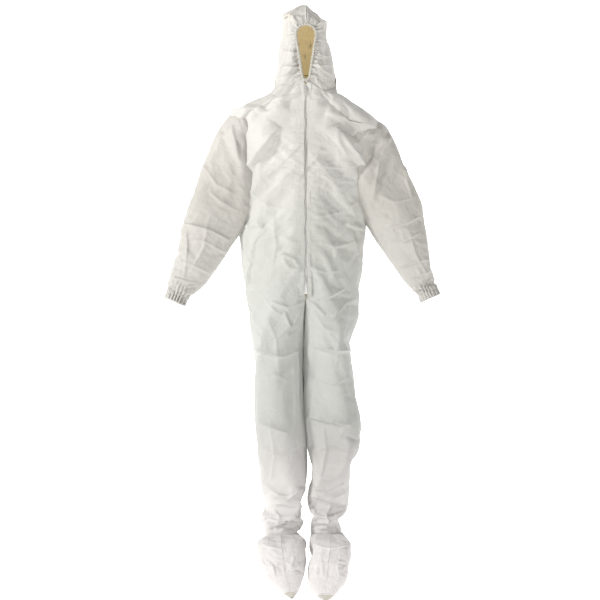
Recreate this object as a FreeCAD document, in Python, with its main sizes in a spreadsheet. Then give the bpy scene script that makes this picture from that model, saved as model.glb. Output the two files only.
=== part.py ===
"""Hooded chemical protective suit with sewn-on booties, as a parametric FreeCAD document.

Millimetres, +Z up, the suit's front towards -Y and the wearer's left towards +X. The origin is the
middle of the neck seam, where the wearer's neck carries the suit. Cloth pieces are thin closed
shells: each is lofted through ovals across the body or limb, hollowed, and cut along its seams.
"""
import FreeCAD, Part
import math
import os
import re
import Sketcher

doc = FreeCAD.newDocument("protective_suit")

# ---------------------------------------------------------------- driving dimensions
SIZES = {
    # cloth and seams
    "cloth": 0.8,  # laminated nonwoven cloth with its seam bulk
    "seam_gap": 1.2,  # between pieces that turn against each other
    "band": 1.2,  # an elastic band's thickness
    "band_clear": 1.4,  # between an elastic and the cloth round it
    # trunk: widths across, depths front to back, drops below the neck
    "front_reach": 95,  # from the origin forward to the zip's plane
    "neck_width": 200,
    "neck_depth": 181,
    "neck_tilt": 12,  # the neck seam climbs towards the nape
    "chin_rise": 33,  # how far the zip's top stands above the neck
    "collar_width": 232,
    "collar_depth": 190,
    "collar_rise": 6,
    "slope_width": 330,
    "slope_depth": 184,
    "slope_drop": 30,
    "shoulder_width": 424,
    "shoulder_depth": 190,
    "shoulder_drop": 68,
    "chest_width": 436,
    "chest_depth": 200,
    "chest_drop": 130,
    "armpit_width": 428,
    "armpit_depth": 206,
    "armpit_drop": 300,
    "waist_width": 412,
    "waist_depth": 190,
    "waist_drop": 480,
    "hip_width": 396,
    "hip_depth": 200,
    "hip_drop": 600,
    "crotch_width": 362,
    "crotch_depth": 166,
    "crotch_drop": 690,
    "gusset_wide": 56,
    "waist_band": 18,  # height of the waist elastic
    "seam_tape": 12,  # width of the seam tapes
    # hood
    "hood_jaw_width": 188,
    "hood_jaw_depth": 190,
    "hood_jaw_front": 97,
    "hood_jaw_rise": 98,
    "hood_ear_width": 174,
    "hood_ear_depth": 208,
    "hood_ear_front": 98,
    "hood_ear_rise": 150,
    "hood_brow_width": 162,
    "hood_brow_depth": 196,
    "hood_brow_front": 92,
    "hood_brow_rise": 222,
    "hood_crown_width": 140,
    "hood_crown_depth": 150,
    "hood_crown_front": 72,
    "hood_crown_rise": 262,
    "hood_tip_width": 30,
    "hood_tip_depth": 66,
    "hood_tip_front": 42,
    "hood_tip_rise": 301,
    "face_half_width": 35,  # the drawn-in face opening, a teardrop
    "face_chin_half": 13,
    "face_low": 40,
    "face_round": 193,  # height of the centre of its round top
    "face_band": 9,  # width of the face elastic
    # sleeves
    "arm_out": 228,  # armhole centre from the middle line
    "arm_drop": 168,
    "arm_bury": 75,  # how far the armhole cut starts inside the trunk
    "arm_side": 2,  # the sleeves' middle, behind the origin
    "upper_arm_long": 298,
    "lower_arm_long": 270,
    "right_upper_lean": 19.5,  # degrees from straight down
    "right_lower_lean": 23.5,
    "left_upper_lean": 17,
    "left_lower_lean": 22.8,
    "armhole_high": 200,
    "armhole_deep": 132,
    "armhole_lean": 83,
    "cap_wide": 176,
    "cap_deep": 122,
    "cap_lean": 46,
    "cap_along": 78,
    "biceps_wide": 200,
    "biceps_deep": 106,
    "biceps_along": 182,
    "elbow_wide": 170,
    "elbow_deep": 96,
    "forearm_wide": 142,
    "forearm_deep": 82,
    "forearm_along": 125,
    "wrist_wide": 104,
    "wrist_deep": 64,
    "wrist_along": 215,
    "cuff_wide": 80,
    "cuff_deep": 52,
    "cuff_band": 12,
    # legs
    "leg_out": 91,  # middle of each thigh from the middle line
    "thigh_wide": 176,
    "thigh_deep": 146,
    "thigh_front": 88,  # from the origin forward to the front of the cloth
    "thigh_low_wide": 172,
    "thigh_low_deep": 140,
    "thigh_low_front": 82,
    "thigh_low_drop": 900,
    "knee_out": 90,
    "knee_wide": 170,
    "knee_deep": 138,
    "knee_front": 76,
    "knee_drop": 1099,
    "calf_out": 82,
    "calf_wide": 150,
    "calf_deep": 122,
    "calf_front": 64,
    "calf_drop": 1240,
    "shaft_out": 77,  # top of the bootie shaft
    "shaft_wide": 118,
    "shaft_deep": 100,
    "shaft_front": 56,
    "shaft_drop": 1372,
    # booties
    "puff_wide": 130,
    "puff_deep": 108,
    "puff_front": 60,
    "puff_drop": 1432,
    "ankle_out": 80,
    "ankle_wide": 108,
    "ankle_deep": 90,
    "ankle_front": 54,
    "ankle_drop": 1487,
    "ankle_band": 14,
    "foot_pitch": 42,  # the hanging foot points this far forward of straight down
    "instep_wide": 146,
    "instep_deep": 128,
    "instep_along": 66,
    "ball_wide": 142,
    "ball_deep": 92,
    "ball_along": 140,
    "toe_wide": 112,
    "toe_deep": 62,
    "toe_along": 204,
    "toe_end_wide": 46,
    "toe_end_deep": 26,
    "toe_end_along": 240,
    "sole_behind": 38,  # the sole's plane behind the foot's middle line
    "sole_sink": 6,  # how far the foot's back would reach past the sole's plane
    "sole_thick": 1.6,
    "sole_hem": 4,  # the binding that stands round the sole's edge
    # zip
    "zip_slot": 7,  # half the gap between the front panels
    "zip_tape_wide": 17,
    "zip_tape_thick": 0.6,
    "zip_tape_back": 2.4,  # the tape's face behind the zip's plane
    "zip_foot": 14,  # the zip's end above the crotch
    "chain_half_gap": 0.9,
    "tooth_wide": 2.6,
    "tooth_deep": 2.2,
    "stop_high": 4,
    "slider_wide": 10,
    "slider_high": 16,
    "slider_plate": 1.4,
    "slider_clear": 0.4,
    "post_half": 0.6,
    "pull_wide": 6,
    "pull_long": 26,
    "pull_thick": 1.2,
    "pin_radius": 0.8,
    "pin_clear": 0.08,
    "placket_wide": 13,
    "placket_thick": 1.0,
    "lug_wide": 2.4,
    "lug_low": 7,
    "lug_wall": 0.8,  # metal round the pin's hole
    "pull_clear": 0.5,
    "pull_end": 0.6,  # metal beyond the pin
    "tape_clear": 0.6,  # between a seam tape and the cloth it covers
}

sheet = doc.addObject("Spreadsheet::Sheet", "sizes")
for row, (alias, value) in enumerate(SIZES.items(), start=1):
    sheet.set(f"A{row}", alias)
    sheet.set(f"B{row}", str(value))
    sheet.setAlias(f"B{row}", alias)
doc.recompute()

WORD = re.compile(r"[A-Za-z_][A-Za-z_0-9]*")


def cells(text):
    """An expression written with plain size names, as FreeCAD wants it."""
    return WORD.sub(lambda m: "sizes." + m.group(0) if m.group(0) in SIZES else m.group(0), text)


def bind(item, **paths):
    """Binds properties of an object to expressions; a double underscore stands for a dot."""
    for path, text in paths.items():
        item.setExpression(path.replace("__", "."), cells(text))


def place(item, x="0", y="0", z="0"):
    bind(item, Placement__Base__x=x, Placement__Base__y=y, Placement__Base__z=z)


nodes = []


def node(item, label):
    """Marks an object as a sub-part: its label is the name of its file."""
    item.Label = label
    nodes.append(item)
    return item


# ---------------------------------------------------------------- building blocks
def oval(name, wide, deep, x="0", y="0", z="0", lean=("0", "0"), shrink="0"):
    """A closed oval, wide along X and deep along Y, then leaned about X and about Y."""
    curve = doc.addObject("Part::Ellipse", name)
    half_wide = f"(({wide}) / 2 - ({shrink}))"
    half_deep = f"(({deep}) / 2 - ({shrink}))"
    spin = f"{half_wide} >= {half_deep} ? 0 : 90"
    turns = " * ".join(
        f"create(<<rotation>>; create(<<vector>>; {axis}); {angle})"
        for axis, angle in (("1; 0; 0", lean[0]), ("0; 1; 0", lean[1]), ("0; 0; 1", spin))
    )
    bind(
        curve,
        MajorRadius=f"max({half_wide}; {half_deep})",
        MinorRadius=f"min({half_wide}; {half_deep})",
        Placement=f"create(<<placement>>; create(<<vector>>; {x}; {y}; {z}); {turns})",
    )
    return curve


def loft(name, ovals, shrink):
    """A solid through a list of ovals, each given as a dict of oval()'s arguments."""
    solid = doc.addObject("Part::Loft", name)
    solid.Sections = [
        oval(f"{name}_{number}", shrink=shrink, **each) for number, each in enumerate(ovals)
    ]
    solid.Solid = True
    solid.Ruled = True
    return solid


def join(kind, name, base, tool):
    """A boolean of two objects: kind is Cut or Common."""
    made = doc.addObject("Part::" + kind, name)
    made.Base = base
    made.Tool = tool
    made.Refine = False
    return made


def shell(name, ovals, outside="0", inside="cloth", inner_ovals=None):
    """A tube of cloth: the loft less the same loft drawn in by the cloth."""
    outer = loft(name + "_outer", ovals, outside)
    inner = loft(name + "_inner", inner_ovals or ovals, inside)
    return join("Cut", name, outer, inner)


def block(name, x0, x1, y0, y1, z0, z1):
    """A box between two corners given as expressions."""
    made = doc.addObject("Part::Box", name)
    bind(made, Length=f"({x1}) - ({x0})", Width=f"({y1}) - ({y0})", Height=f"({z1}) - ({z0})")
    place(made, x0, y0, z0)
    return made


def flat_sketch(body, name, role):
    """An empty sketch on one of a body's own origin planes."""
    sketch = body.newObject("Sketcher::SketchObject", name)
    plane = [feature for feature in body.Origin.OriginFeatures if feature.Role == role][0]
    sketch.AttachmentSupport = [(plane, "")]
    sketch.MapMode = "FlatFace"
    return sketch


def rectangle(body, name, wide, high, thick, x="0", y="0", z="0", cut=False):
    """A rectangular pad or pocket with its back lower edge's middle at x, y, z of the body and
    its face to -Y."""
    sketch = flat_sketch(body, name + "_outline", "XZ_Plane")
    bind(
        sketch,
        AttachmentOffset__Base__x=x,
        AttachmentOffset__Base__y=z,
        AttachmentOffset__Base__z=f"-({y})",
    )
    corners = [FreeCAD.Vector(a, b, 0) for a, b in ((-5, 0), (5, 0), (5, 10), (-5, 10))]
    for number, corner in enumerate(corners):
        sketch.addGeometry(Part.LineSegment(corner, corners[(number + 1) % 4]), False)
    for number in range(4):
        link = Sketcher.Constraint("Coincident", number, 2, (number + 1) % 4, 1)
        sketch.addConstraint(link)
    for edge, kind in enumerate(("Horizontal", "Vertical", "Horizontal", "Vertical")):
        sketch.addConstraint(Sketcher.Constraint(kind, edge))
    sketch.addConstraint(Sketcher.Constraint("Symmetric", 0, 1, 0, 2, -1, 1))
    across = sketch.addConstraint(Sketcher.Constraint("DistanceX", 0, 1, 0, 2, 10))
    along = sketch.addConstraint(Sketcher.Constraint("DistanceY", 1, 1, 1, 2, 10))
    sketch.setExpression(f"Constraints[{across}]", cells(wide))
    sketch.setExpression(f"Constraints[{along}]", cells(high))
    made = body.newObject("PartDesign::Pocket" if cut else "PartDesign::Pad", name)
    made.Profile = sketch
    made.Reversed = cut
    made.setExpression("Length", cells(thick))
    return made


def plate(name, wide, high, thick, x, y, z):
    """A body that starts as a rectangular pad with its back lower edge's middle at x, y, z."""
    body = doc.addObject("PartDesign::Body", name + "_body")
    rectangle(body, name + "_pad", wide, high, thick)
    place(body, x, y, z)
    return body


WIDE = "1500"  # larger than the suit each way, for the boxes that cut it
TALL = "3000"


# ---------------------------------------------------------------- trunk
def trunk_oval(part, height=None):
    return {
        "wide": f"{part}_width",
        "deep": f"{part}_depth",
        "y": f"-front_reach + {part}_depth / 2",
        "z": height or f"-{part}_drop",
    }


def neck_oval(lift="0"):
    """The sloping neck seam, whose front point is the zip's top."""
    return {
        "wide": "neck_width",
        "deep": "neck_depth",
        "y": "-front_reach + neck_depth / 2 * cos(neck_tilt)",
        "z": f"chin_rise + neck_depth / 2 * sin(neck_tilt) + {lift}",
        "lean": ("neck_tilt", "0"),
    }


TRUNK = [neck_oval(), trunk_oval("collar", "collar_rise")] + [
    trunk_oval(part)
    for part in ("slope", "shoulder", "chest", "armpit", "waist", "hip", "crotch")
]


def sleeve_ovals(side, sign):
    """The upper sleeve's ovals, the lower sleeve's, and a function for more of the lower ones."""
    up, low = f"{side}_upper_lean", f"{side}_lower_lean"
    bend = f"({up} + {low}) / 2"
    turn = "" if sign == "-" else "-"  # the lean about Y that carries a sleeve outward
    elbow_x = f"(arm_out + upper_arm_long * sin({up}))"
    elbow_z = f"(-arm_drop - upper_arm_long * cos({up}))"

    def along_arm(wide, deep, x0, z0, way, along, lean):
        return {
            "wide": wide,
            "deep": deep,
            "lean": ("0", f"{turn}({lean})"),
            "x": f"{sign}({x0} + ({along}) * sin({way}))",
            "y": "arm_side",
            "z": f"{z0} - ({along}) * cos({way})",
        }

    def upper(wide, deep, along, lean):
        return along_arm(wide, deep, "arm_out", "-arm_drop", up, along, lean)

    def lower(wide, deep, along):
        return along_arm(wide, deep, elbow_x, elbow_z, low, along, low)

    def elbow(step):
        return along_arm("elbow_wide", "elbow_deep", elbow_x, elbow_z, bend, step, bend)

    upper_ovals = [
        along_arm(
            "armhole_high", "armhole_deep", "arm_out", "-arm_drop",
            "armhole_lean", "-arm_bury", "armhole_lean",
        ),
        upper("cap_wide", "cap_deep", "cap_along", "cap_lean"),
        upper("biceps_wide", "biceps_deep", "biceps_along", up),
        elbow("-seam_gap"),
    ]
    lower_ovals = [
        elbow("seam_gap"),
        lower("forearm_wide", "forearm_deep", "forearm_along"),
        lower("wrist_wide", "wrist_deep", "wrist_along"),
        lower("cuff_wide", "cuff_deep", "lower_arm_long"),
    ]
    return upper_ovals, lower_ovals, lower


SIDES = {"left": "", "right": "-"}
sleeve_outers = {}
sleeve_inners = {}
for side, sign in SIDES.items():
    upper_ovals, lower_ovals, lower = sleeve_ovals(side, sign)
    sleeve_outers[side] = loft(f"{side}_sleeve_outer", upper_ovals, "0")
    sleeve_inners[side] = loft(f"{side}_sleeve_inner", upper_ovals, "cloth")
    node(shell(f"{side}_lower_tube", lower_ovals), f"{side}_lower_sleeve")
    # the elastic lies inside the cuff, and the hem is the cloth folded back over its end
    band_in = "cloth + band_clear"
    cuff_end = lower("cuff_wide", "cuff_deep", "lower_arm_long - 2")
    cuff_up = lower("cuff_wide", "cuff_deep", "lower_arm_long - 2 - cuff_band")
    elastic = shell(f"{side}_cuff_ring", [cuff_up, cuff_end], band_in, f"{band_in} + band")
    node(elastic, f"{side}_cuff_elastic")
    hem_top = lower("cuff_wide", "cuff_deep", "lower_arm_long + 0.1")
    hem_end = lower("cuff_wide", "cuff_deep", "lower_arm_long + 4")
    node(shell(f"{side}_hem_ring", [hem_top, hem_end], "0", "cloth * 2"), f"{side}_cuff_hem")

trunk = shell("trunk", TRUNK)
opened = join("Cut", "trunk_right_open", trunk, sleeve_inners["right"])
opened = join("Cut", "trunk_open", opened, sleeve_inners["left"])
side_y = "-front_reach + armpit_depth / 2"

PANELS = {
    "front_left_panel": ("zip_slot", WIDE, "-" + WIDE, side_y),
    "front_right_panel": ("-" + WIDE, "-zip_slot", "-" + WIDE, side_y),
    "back_left_panel": ("0", WIDE, side_y, WIDE),
    "back_right_panel": ("-" + WIDE, "0", side_y, WIDE),
}
for label, (x0, x1, y0, y1) in PANELS.items():
    region = block(label + "_region", x0, x1, y0, y1, "-" + TALL, TALL)
    node(join("Common", label + "_cut", opened, region), label)

grown = loft("trunk_grown", TRUNK, "-seam_gap")
for side in SIDES:
    cap = join("Cut", f"{side}_sleeve_cap", sleeve_outers[side], grown)
    node(join("Cut", f"{side}_sleeve_cut", cap, sleeve_inners[side]), f"{side}_upper_sleeve")

# seam tapes inside the trunk: a thin lining of the trunk, cut to strips
lining = shell("lining", TRUNK[4:], "cloth + tape_clear", "cloth * 2 + tape_clear")
SEAMS = {
    "centre_back_seam": (
        "-seam_tape / 2", "seam_tape / 2", "0", WIDE,
        "-crotch_drop + 4", "-chest_drop - 4",
    ),
    "left_side_seam": (
        "0", WIDE, f"{side_y} - seam_tape / 2", f"{side_y} + seam_tape / 2",
        "-crotch_drop + 4", "-armpit_drop - 20",
    ),
    "right_side_seam": (
        "-" + WIDE, "0", f"{side_y} - seam_tape / 2", f"{side_y} + seam_tape / 2",
        "-crotch_drop + 4", "-armpit_drop - 20",
    ),
}
for label, corners in SEAMS.items():
    region = block(label + "_region", *corners)
    node(join("Common", label + "_cut", lining, region), label)

# waist elastic across the back, clear of the seam tapes
waist_in = "cloth * 2 + tape_clear + band_clear"
waist_ovals = [
    trunk_oval("waist", "-waist_drop + waist_band / 2"),
    trunk_oval("waist", "-waist_drop - waist_band / 2"),
]
waist_ring = shell("waist_ring", waist_ovals, waist_in, f"{waist_in} + band")
waist_back = block("waist_region", "-" + WIDE, WIDE, "20", WIDE, "-" + TALL, TALL)
node(join("Common", "waist_cut", waist_ring, waist_back), "waist_elastic")

# the gusset closes the crotch between the legs
gusset_deep = "crotch_depth - 2 * cloth - 2 * seam_gap"
gusset_y = "-front_reach + crotch_depth / 2"
gusset_outer = loft(
    "gusset_outer",
    [
        {"wide": "gusset_wide", "deep": gusset_deep, "y": gusset_y, "z": f"-crotch_drop + {lift}"}
        for lift in ("seam_gap", "seam_gap + cloth")
    ],
    "0",
)
node(gusset_outer, "crotch_gusset")

# ---------------------------------------------------------------- hood
def hood_oval(part, drop="0"):
    return {
        "wide": f"hood_{part}_width",
        "deep": f"hood_{part}_depth",
        "y": f"-hood_{part}_front + hood_{part}_depth / 2",
        "z": f"hood_{part}_rise - ({drop})",
    }


HOOD_SIDES = [neck_oval("seam_gap")] + [
    hood_oval(part) for part in ("jaw", "ear", "brow", "crown")
]


def hood_layer(name, outside, inside):
    """A layer of the hood between two depths inside its outer face, closed over the crown."""
    outer = HOOD_SIDES + [hood_oval("tip", outside)]
    return shell(name, outer, outside, inside, HOOD_SIDES + [hood_oval("tip", inside)])


hood_shell = hood_layer("hood_shell", "0", "cloth")


def teardrop(name, grow):
    """The face opening as a solid that reaches through the hood's front: two arcs joined by
    tangent lines, padded forward."""
    body = doc.addObject("PartDesign::Body", name + "_body")
    sketch = flat_sketch(body, name + "_outline", "XZ_Plane")
    ahead = FreeCAD.Vector(0, 0, 1)
    top_half, top_at = SIZES["face_half_width"], SIZES["face_round"]
    low_half = SIZES["face_chin_half"]
    low_at = SIZES["face_low"] + low_half
    top = Part.Circle(FreeCAD.Vector(0, top_at, 0), ahead, top_half)
    low = Part.Circle(FreeCAD.Vector(0, low_at, 0), ahead, low_half)
    corners = {
        way: (FreeCAD.Vector(way * top_half, top_at, 0), FreeCAD.Vector(way * low_half, low_at, 0))
        for way in (-1, 1)
    }
    sketch.addGeometry(Part.ArcOfCircle(top, 0, math.pi), False)
    sketch.addGeometry(Part.ArcOfCircle(low, math.pi, 2 * math.pi), False)
    sketch.addGeometry(Part.LineSegment(*corners[-1]), False)
    sketch.addGeometry(Part.LineSegment(*reversed(corners[1])), False)
    for ends in ((0, 2, 2, 1), (2, 2, 1, 1), (1, 2, 3, 1), (3, 2, 0, 1)):
        sketch.addConstraint(Sketcher.Constraint("Tangent", *ends))
    for arc in (0, 1):
        sketch.addConstraint(Sketcher.Constraint("PointOnObject", arc, 3, -2))
    measures = (
        (Sketcher.Constraint("Radius", 0, top_half), f"face_half_width + {grow}"),
        (Sketcher.Constraint("Radius", 1, low_half), f"face_chin_half + {grow}"),
        (Sketcher.Constraint("DistanceY", -1, 1, 0, 3, top_at), "face_round"),
        (Sketcher.Constraint("DistanceY", -1, 1, 1, 3, low_at), "face_low + face_chin_half"),
    )
    for constraint, value in measures:
        number = sketch.addConstraint(constraint)
        sketch.setExpression(f"Constraints[{number}]", cells(value))
    pad = body.newObject("PartDesign::Pad", name + "_pad")
    pad.Profile = sketch
    pad.setExpression("Length", cells("hood_ear_front * 2"))
    return body


hood_open = join("Cut", "hood_open", hood_shell, teardrop("face_cutter", "0"))
for side, (x0, x1) in {"left": ("0", WIDE), "right": ("-" + WIDE, "0")}.items():
    region = block(f"hood_{side}_region", x0, x1, "-" + WIDE, WIDE, "-" + WIDE, WIDE)
    node(join("Common", f"hood_{side}_cut", hood_open, region), f"hood_{side}_panel")

# the face elastic lies just inside the edge of the opening
face_lining = hood_layer("face_lining", "cloth + tape_clear", "cloth + tape_clear + band")
face_wide = join("Common", "face_wide", face_lining, teardrop("face_far", "face_band + 2"))
node(join("Cut", "face_ring", face_wide, teardrop("face_near", "2")), "face_elastic")
hood_lining = hood_layer("hood_lining", "cloth + tape_clear", "cloth * 2 + tape_clear")
hood_strip = block(
    "hood_strip", "-seam_tape / 2", "seam_tape / 2", "0", WIDE, "hood_jaw_rise - seam_tape", WIDE
)
node(join("Common", "hood_strip_cut", hood_lining, hood_strip), "hood_centre_seam")

# ---------------------------------------------------------------- legs and booties
def leg_oval(part, out, sign, drop=None):
    return {
        "wide": f"{part}_wide",
        "deep": f"{part}_deep",
        "x": f"{sign}{out}",
        "y": f"-{part}_front + {part}_deep / 2",
        "z": f"-({drop or part + '_drop'})",
    }


def foot_oval(part, sign, pitch, drop="0"):
    """An oval across the foot, drawn back so that its lower edge sinks past the sole's plane."""
    along = f"({part}_along - {drop})"
    back = f"(sole_behind + sole_sink - {part}_deep / 2)"
    return {
        "wide": f"{part}_wide",
        "deep": f"{part}_deep",
        "lean": (f"-{pitch}", "0"),
        "x": f"{sign}ankle_out",
        "y": f"{ANKLE_Y} - {along} * sin(foot_pitch) + {back} * cos(foot_pitch)",
        "z": f"-ankle_drop - {along} * cos(foot_pitch) - {back} * sin(foot_pitch)",
    }


ANKLE_Y = "(-ankle_front + ankle_deep / 2)"
for side, sign in SIDES.items():
    thigh = [
        leg_oval("thigh", "leg_out", sign, "(crotch_drop + seam_gap)"),
        leg_oval("thigh_low", "leg_out", sign),
        leg_oval("knee", "knee_out", sign, "(knee_drop - seam_gap / 2)"),
    ]
    shin = [
        leg_oval("knee", "knee_out", sign, "(knee_drop + seam_gap / 2)"),
        leg_oval("calf", "calf_out", sign),
        leg_oval("shaft", "shaft_out", sign, "(shaft_drop - seam_gap / 2)"),
    ]
    shaft = [
        leg_oval("shaft", "shaft_out", sign, "(shaft_drop + seam_gap / 2)"),
        leg_oval("puff", "ankle_out", sign),
        leg_oval("ankle", "ankle_out", sign),
    ]
    foot = [
        foot_oval("instep", sign, "foot_pitch"),
        foot_oval("ball", sign, "foot_pitch"),
        foot_oval("toe", sign, "foot_pitch"),
    ]
    toe_out = foot_oval("toe_end", sign, "foot_pitch")
    toe_in = foot_oval("toe_end", sign, "foot_pitch", "cloth")
    for name, ovals in (("thigh", thigh), ("shin", shin)):
        node(shell(f"{side}_{name}_tube", ovals), f"{side}_{name}")
    # inseam tapes line the inner face of each leg piece
    for name, ovals, top, low in (
        ("thigh", thigh, "crotch_drop + 6", "knee_drop - 6"),
        ("shin", shin, "knee_drop + 6", "shaft_drop - 30"),
    ):
        tape = shell(
            f"{side}_{name}_lining", ovals, "cloth + tape_clear", "cloth * 2 + tape_clear"
        )
        middle = f"(-{name if name == 'thigh' else 'calf'}_front + thigh_deep / 2)"
        inner = (f"{sign}(leg_out)", "0") if sign else ("0", "leg_out")
        strip = block(
            f"{side}_{name}_strip", *inner,
            f"{middle} - seam_tape / 2", f"{middle} + seam_tape / 2", f"-({low})", f"-({top})",
        )
        node(join("Common", f"{side}_{name}_strip_cut", tape, strip), f"{side}_{name}_inseam")

    boot = shell(f"{side}_boot_tube", shaft + foot + [toe_out], inner_ovals=shaft + foot + [toe_in])
    start = f"{ANKLE_Y} + sole_behind * cos(foot_pitch) - {TALL} / 2 * sin(foot_pitch)"
    start_z = f"-ankle_drop - sole_behind * sin(foot_pitch) - {TALL} / 2 * cos(foot_pitch)"

    def behind(name, thick, gap="0"):
        """A slab along the sole's plane, from it backwards."""
        slab = doc.addObject("Part::Box", name)
        bind(
            slab,
            Length=WIDE,
            Width=thick,
            Height=f"{TALL} / 2",
            Placement=(
                f"create(<<placement>>; create(<<vector>>; -{WIDE} / 2;"
                f" {start} + ({gap}) * cos(foot_pitch); {start_z} - ({gap}) * sin(foot_pitch));"
                " create(<<rotation>>; create(<<vector>>; 1; 0; 0); -foot_pitch))"
            ),
        )
        return slab

    upper = join("Cut", f"{side}_boot_cut", boot, behind(f"{side}_boot_slab", WIDE))
    node(upper, f"{side}_bootie_upper")
    wide_boot = loft(f"{side}_boot_wide", shaft + foot + [toe_out], "-sole_hem")
    sole_slab = behind(f"{side}_sole_slab", "sole_thick", "0.1")
    sole = join("Common", f"{side}_sole_cut", wide_boot, sole_slab)
    node(sole, f"{side}_bootie_sole")
    band_ovals = [
        {**leg_oval("ankle", "ankle_out", sign), "z": f"-(ankle_drop) + {lift}"}
        for lift in ("ankle_band", "0")
    ]
    band_in = "cloth + band_clear"
    ankle_ring = shell(f"{side}_ankle_ring", band_ovals, band_in, f"{band_in} + band")
    node(ankle_ring, f"{side}_ankle_elastic")

# ---------------------------------------------------------------- zip
zip_low = "(-crotch_drop + zip_foot)"
zip_high = "(chin_rise - zip_foot / 2)"
zip_long = f"({zip_high} - {zip_low})"
tape_y = "(-front_reach + zip_tape_back + zip_tape_thick)"
chain_y = "(-front_reach + zip_tape_back)"
for side, way in SIDES.items():
    tape_x = f"{way}(chain_half_gap + zip_tape_wide / 2)"
    tape = plate(
        f"tape_{side}", "zip_tape_wide", zip_long, "zip_tape_thick", tape_x, tape_y, zip_low
    )
    node(tape, f"zip_tape_{side}")
    chain_x = f"{way}(chain_half_gap + tooth_wide / 2)"
    chain_long = f"{zip_long} - 2 * stop_high - 1"
    chain = plate(
        f"chain_{side}", "tooth_wide", chain_long, "tooth_deep",
        chain_x, chain_y, f"{zip_low} + stop_high + 0.5",
    )
    node(chain, f"zip_chain_{side}")
    stop = plate(
        f"top_stop_{side}", "tooth_wide", "stop_high", "tooth_deep",
        chain_x, chain_y, f"{zip_high} - stop_high",
    )
    node(stop, f"zip_top_stop_{side}")
    lip = plate(
        f"lip_{side}", "placket_wide", zip_long, "placket_thick",
        f"{way}(zip_slot + placket_wide / 2)", "(-front_reach - 0.2)", zip_low,
    )
    node(lip, f"placket_{side}_lip")
stop_wide = "2 * (chain_half_gap + tooth_wide)"
low_stop = plate("low_stop", stop_wide, "stop_high", "tooth_deep", "0", chain_y, zip_low)
node(low_stop, "zip_bottom_stop")


def cross_pin(body, kind, name, radius, long, y, z):
    """A cylinder across a body, added or taken away, with its middle at y, z of the body."""
    doc.recompute()
    made = body.newObject("PartDesign::" + kind, name)
    made.MapMode = "Deactivated"
    made.Placement = FreeCAD.Placement(
        FreeCAD.Vector(), FreeCAD.Rotation(FreeCAD.Vector(0, 1, 0), 90)
    )
    bind(made, Radius=radius, Height=long)
    place(made, f"-({long}) / 2", y, z)


# the slider: a front and a back plate joined by a post that runs between the chains, with a
# lug in front that holds the pull's pin
slider_z = f"({zip_high} - stop_high - slider_high - 1)"
slider_front = f"({chain_y} - tooth_deep - slider_clear)"
slider_back = f"({tape_y} + slider_clear + slider_plate)"
slider = plate(
    "slider", "slider_wide", "slider_high", "slider_plate", "0", slider_front, slider_z
)
post_long = f"({slider_back} - {slider_front})"
rectangle(
    slider, "slider_post", "2 * post_half", "slider_high / 2", post_long,
    y=post_long, z="slider_high / 2",
)
rectangle(slider, "slider_rear", "slider_wide", "slider_high", "slider_plate", y=post_long)
lug_deep = "(2 * (pin_radius + pin_clear + lug_wall))"
lug_y = f"(slider_plate + {lug_deep} / 2)"
rectangle(slider, "slider_lug", "lug_wide", lug_deep, lug_deep, y="-slider_plate", z="lug_low")
cross_pin(
    slider, "SubtractiveCylinder", "slider_hole", "pin_radius + pin_clear", "lug_wide + 2",
    f"-{lug_y}", f"lug_low + {lug_deep} / 2",
)
node(slider, "zip_slider")

# the pull: a fork astride the lug, with the pin across its two arms
pin_down = "(pin_radius + pull_end)"
pull = plate(
    "pull", "pull_wide", "pull_long", "pull_thick", "0",
    f"({slider_front} - {lug_y} + pull_thick / 2)",
    f"({slider_z} + lug_low + {lug_deep} / 2 + {pin_down} - pull_long)",
)
fork_deep = f"({pin_down} + {lug_deep} * 0.71 + pull_clear)"
rectangle(
    pull, "pull_fork", "lug_wide + 2 * pull_clear", fork_deep, "pull_thick",
    z=f"pull_long - {fork_deep}", cut=True,
)
cross_pin(
    pull, "AdditiveCylinder", "pull_pin", "pin_radius", "pull_wide",
    "-pull_thick / 2", f"pull_long - {pin_down}",
)
node(pull, "zip_pull")

# ---------------------------------------------------------------- check and write
doc.recompute()
for item in doc.Objects:
    if "Invalid" in item.State or "Error" in item.State:
        raise RuntimeError(f"{item.Name} failed: {item.State}")
os.makedirs("parts", exist_ok=True)
for item in nodes:
    shape = item.Shape
    if shape.isNull() or not shape.isValid() or not shape.Solids:
        raise RuntimeError(f"{item.Label} has no valid solid")
    shape.exportStep(f"parts/{item.Label}.step")
    box = shape.BoundBox
    print(
        f"{item.Label}: {len(shape.Solids)} solid(s), {shape.Volume:.0f} mm3,"
        f" {box.XMin:.0f}..{box.XMax:.0f} {box.YMin:.0f}..{box.YMax:.0f} {box.ZMin:.0f}..{box.ZMax:.0f}"
    )
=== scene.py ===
"""A white hooded coverall with sewn-on booties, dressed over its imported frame.

Metres, +Z up, the suit's front towards -Y, the wearer's left towards +X. Every cloth part is a
grid of points worked out as whole arrays, crumpled by a cloth simulation and then creased.
"""

import logging
from dataclasses import dataclass, field
from enum import Enum

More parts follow.
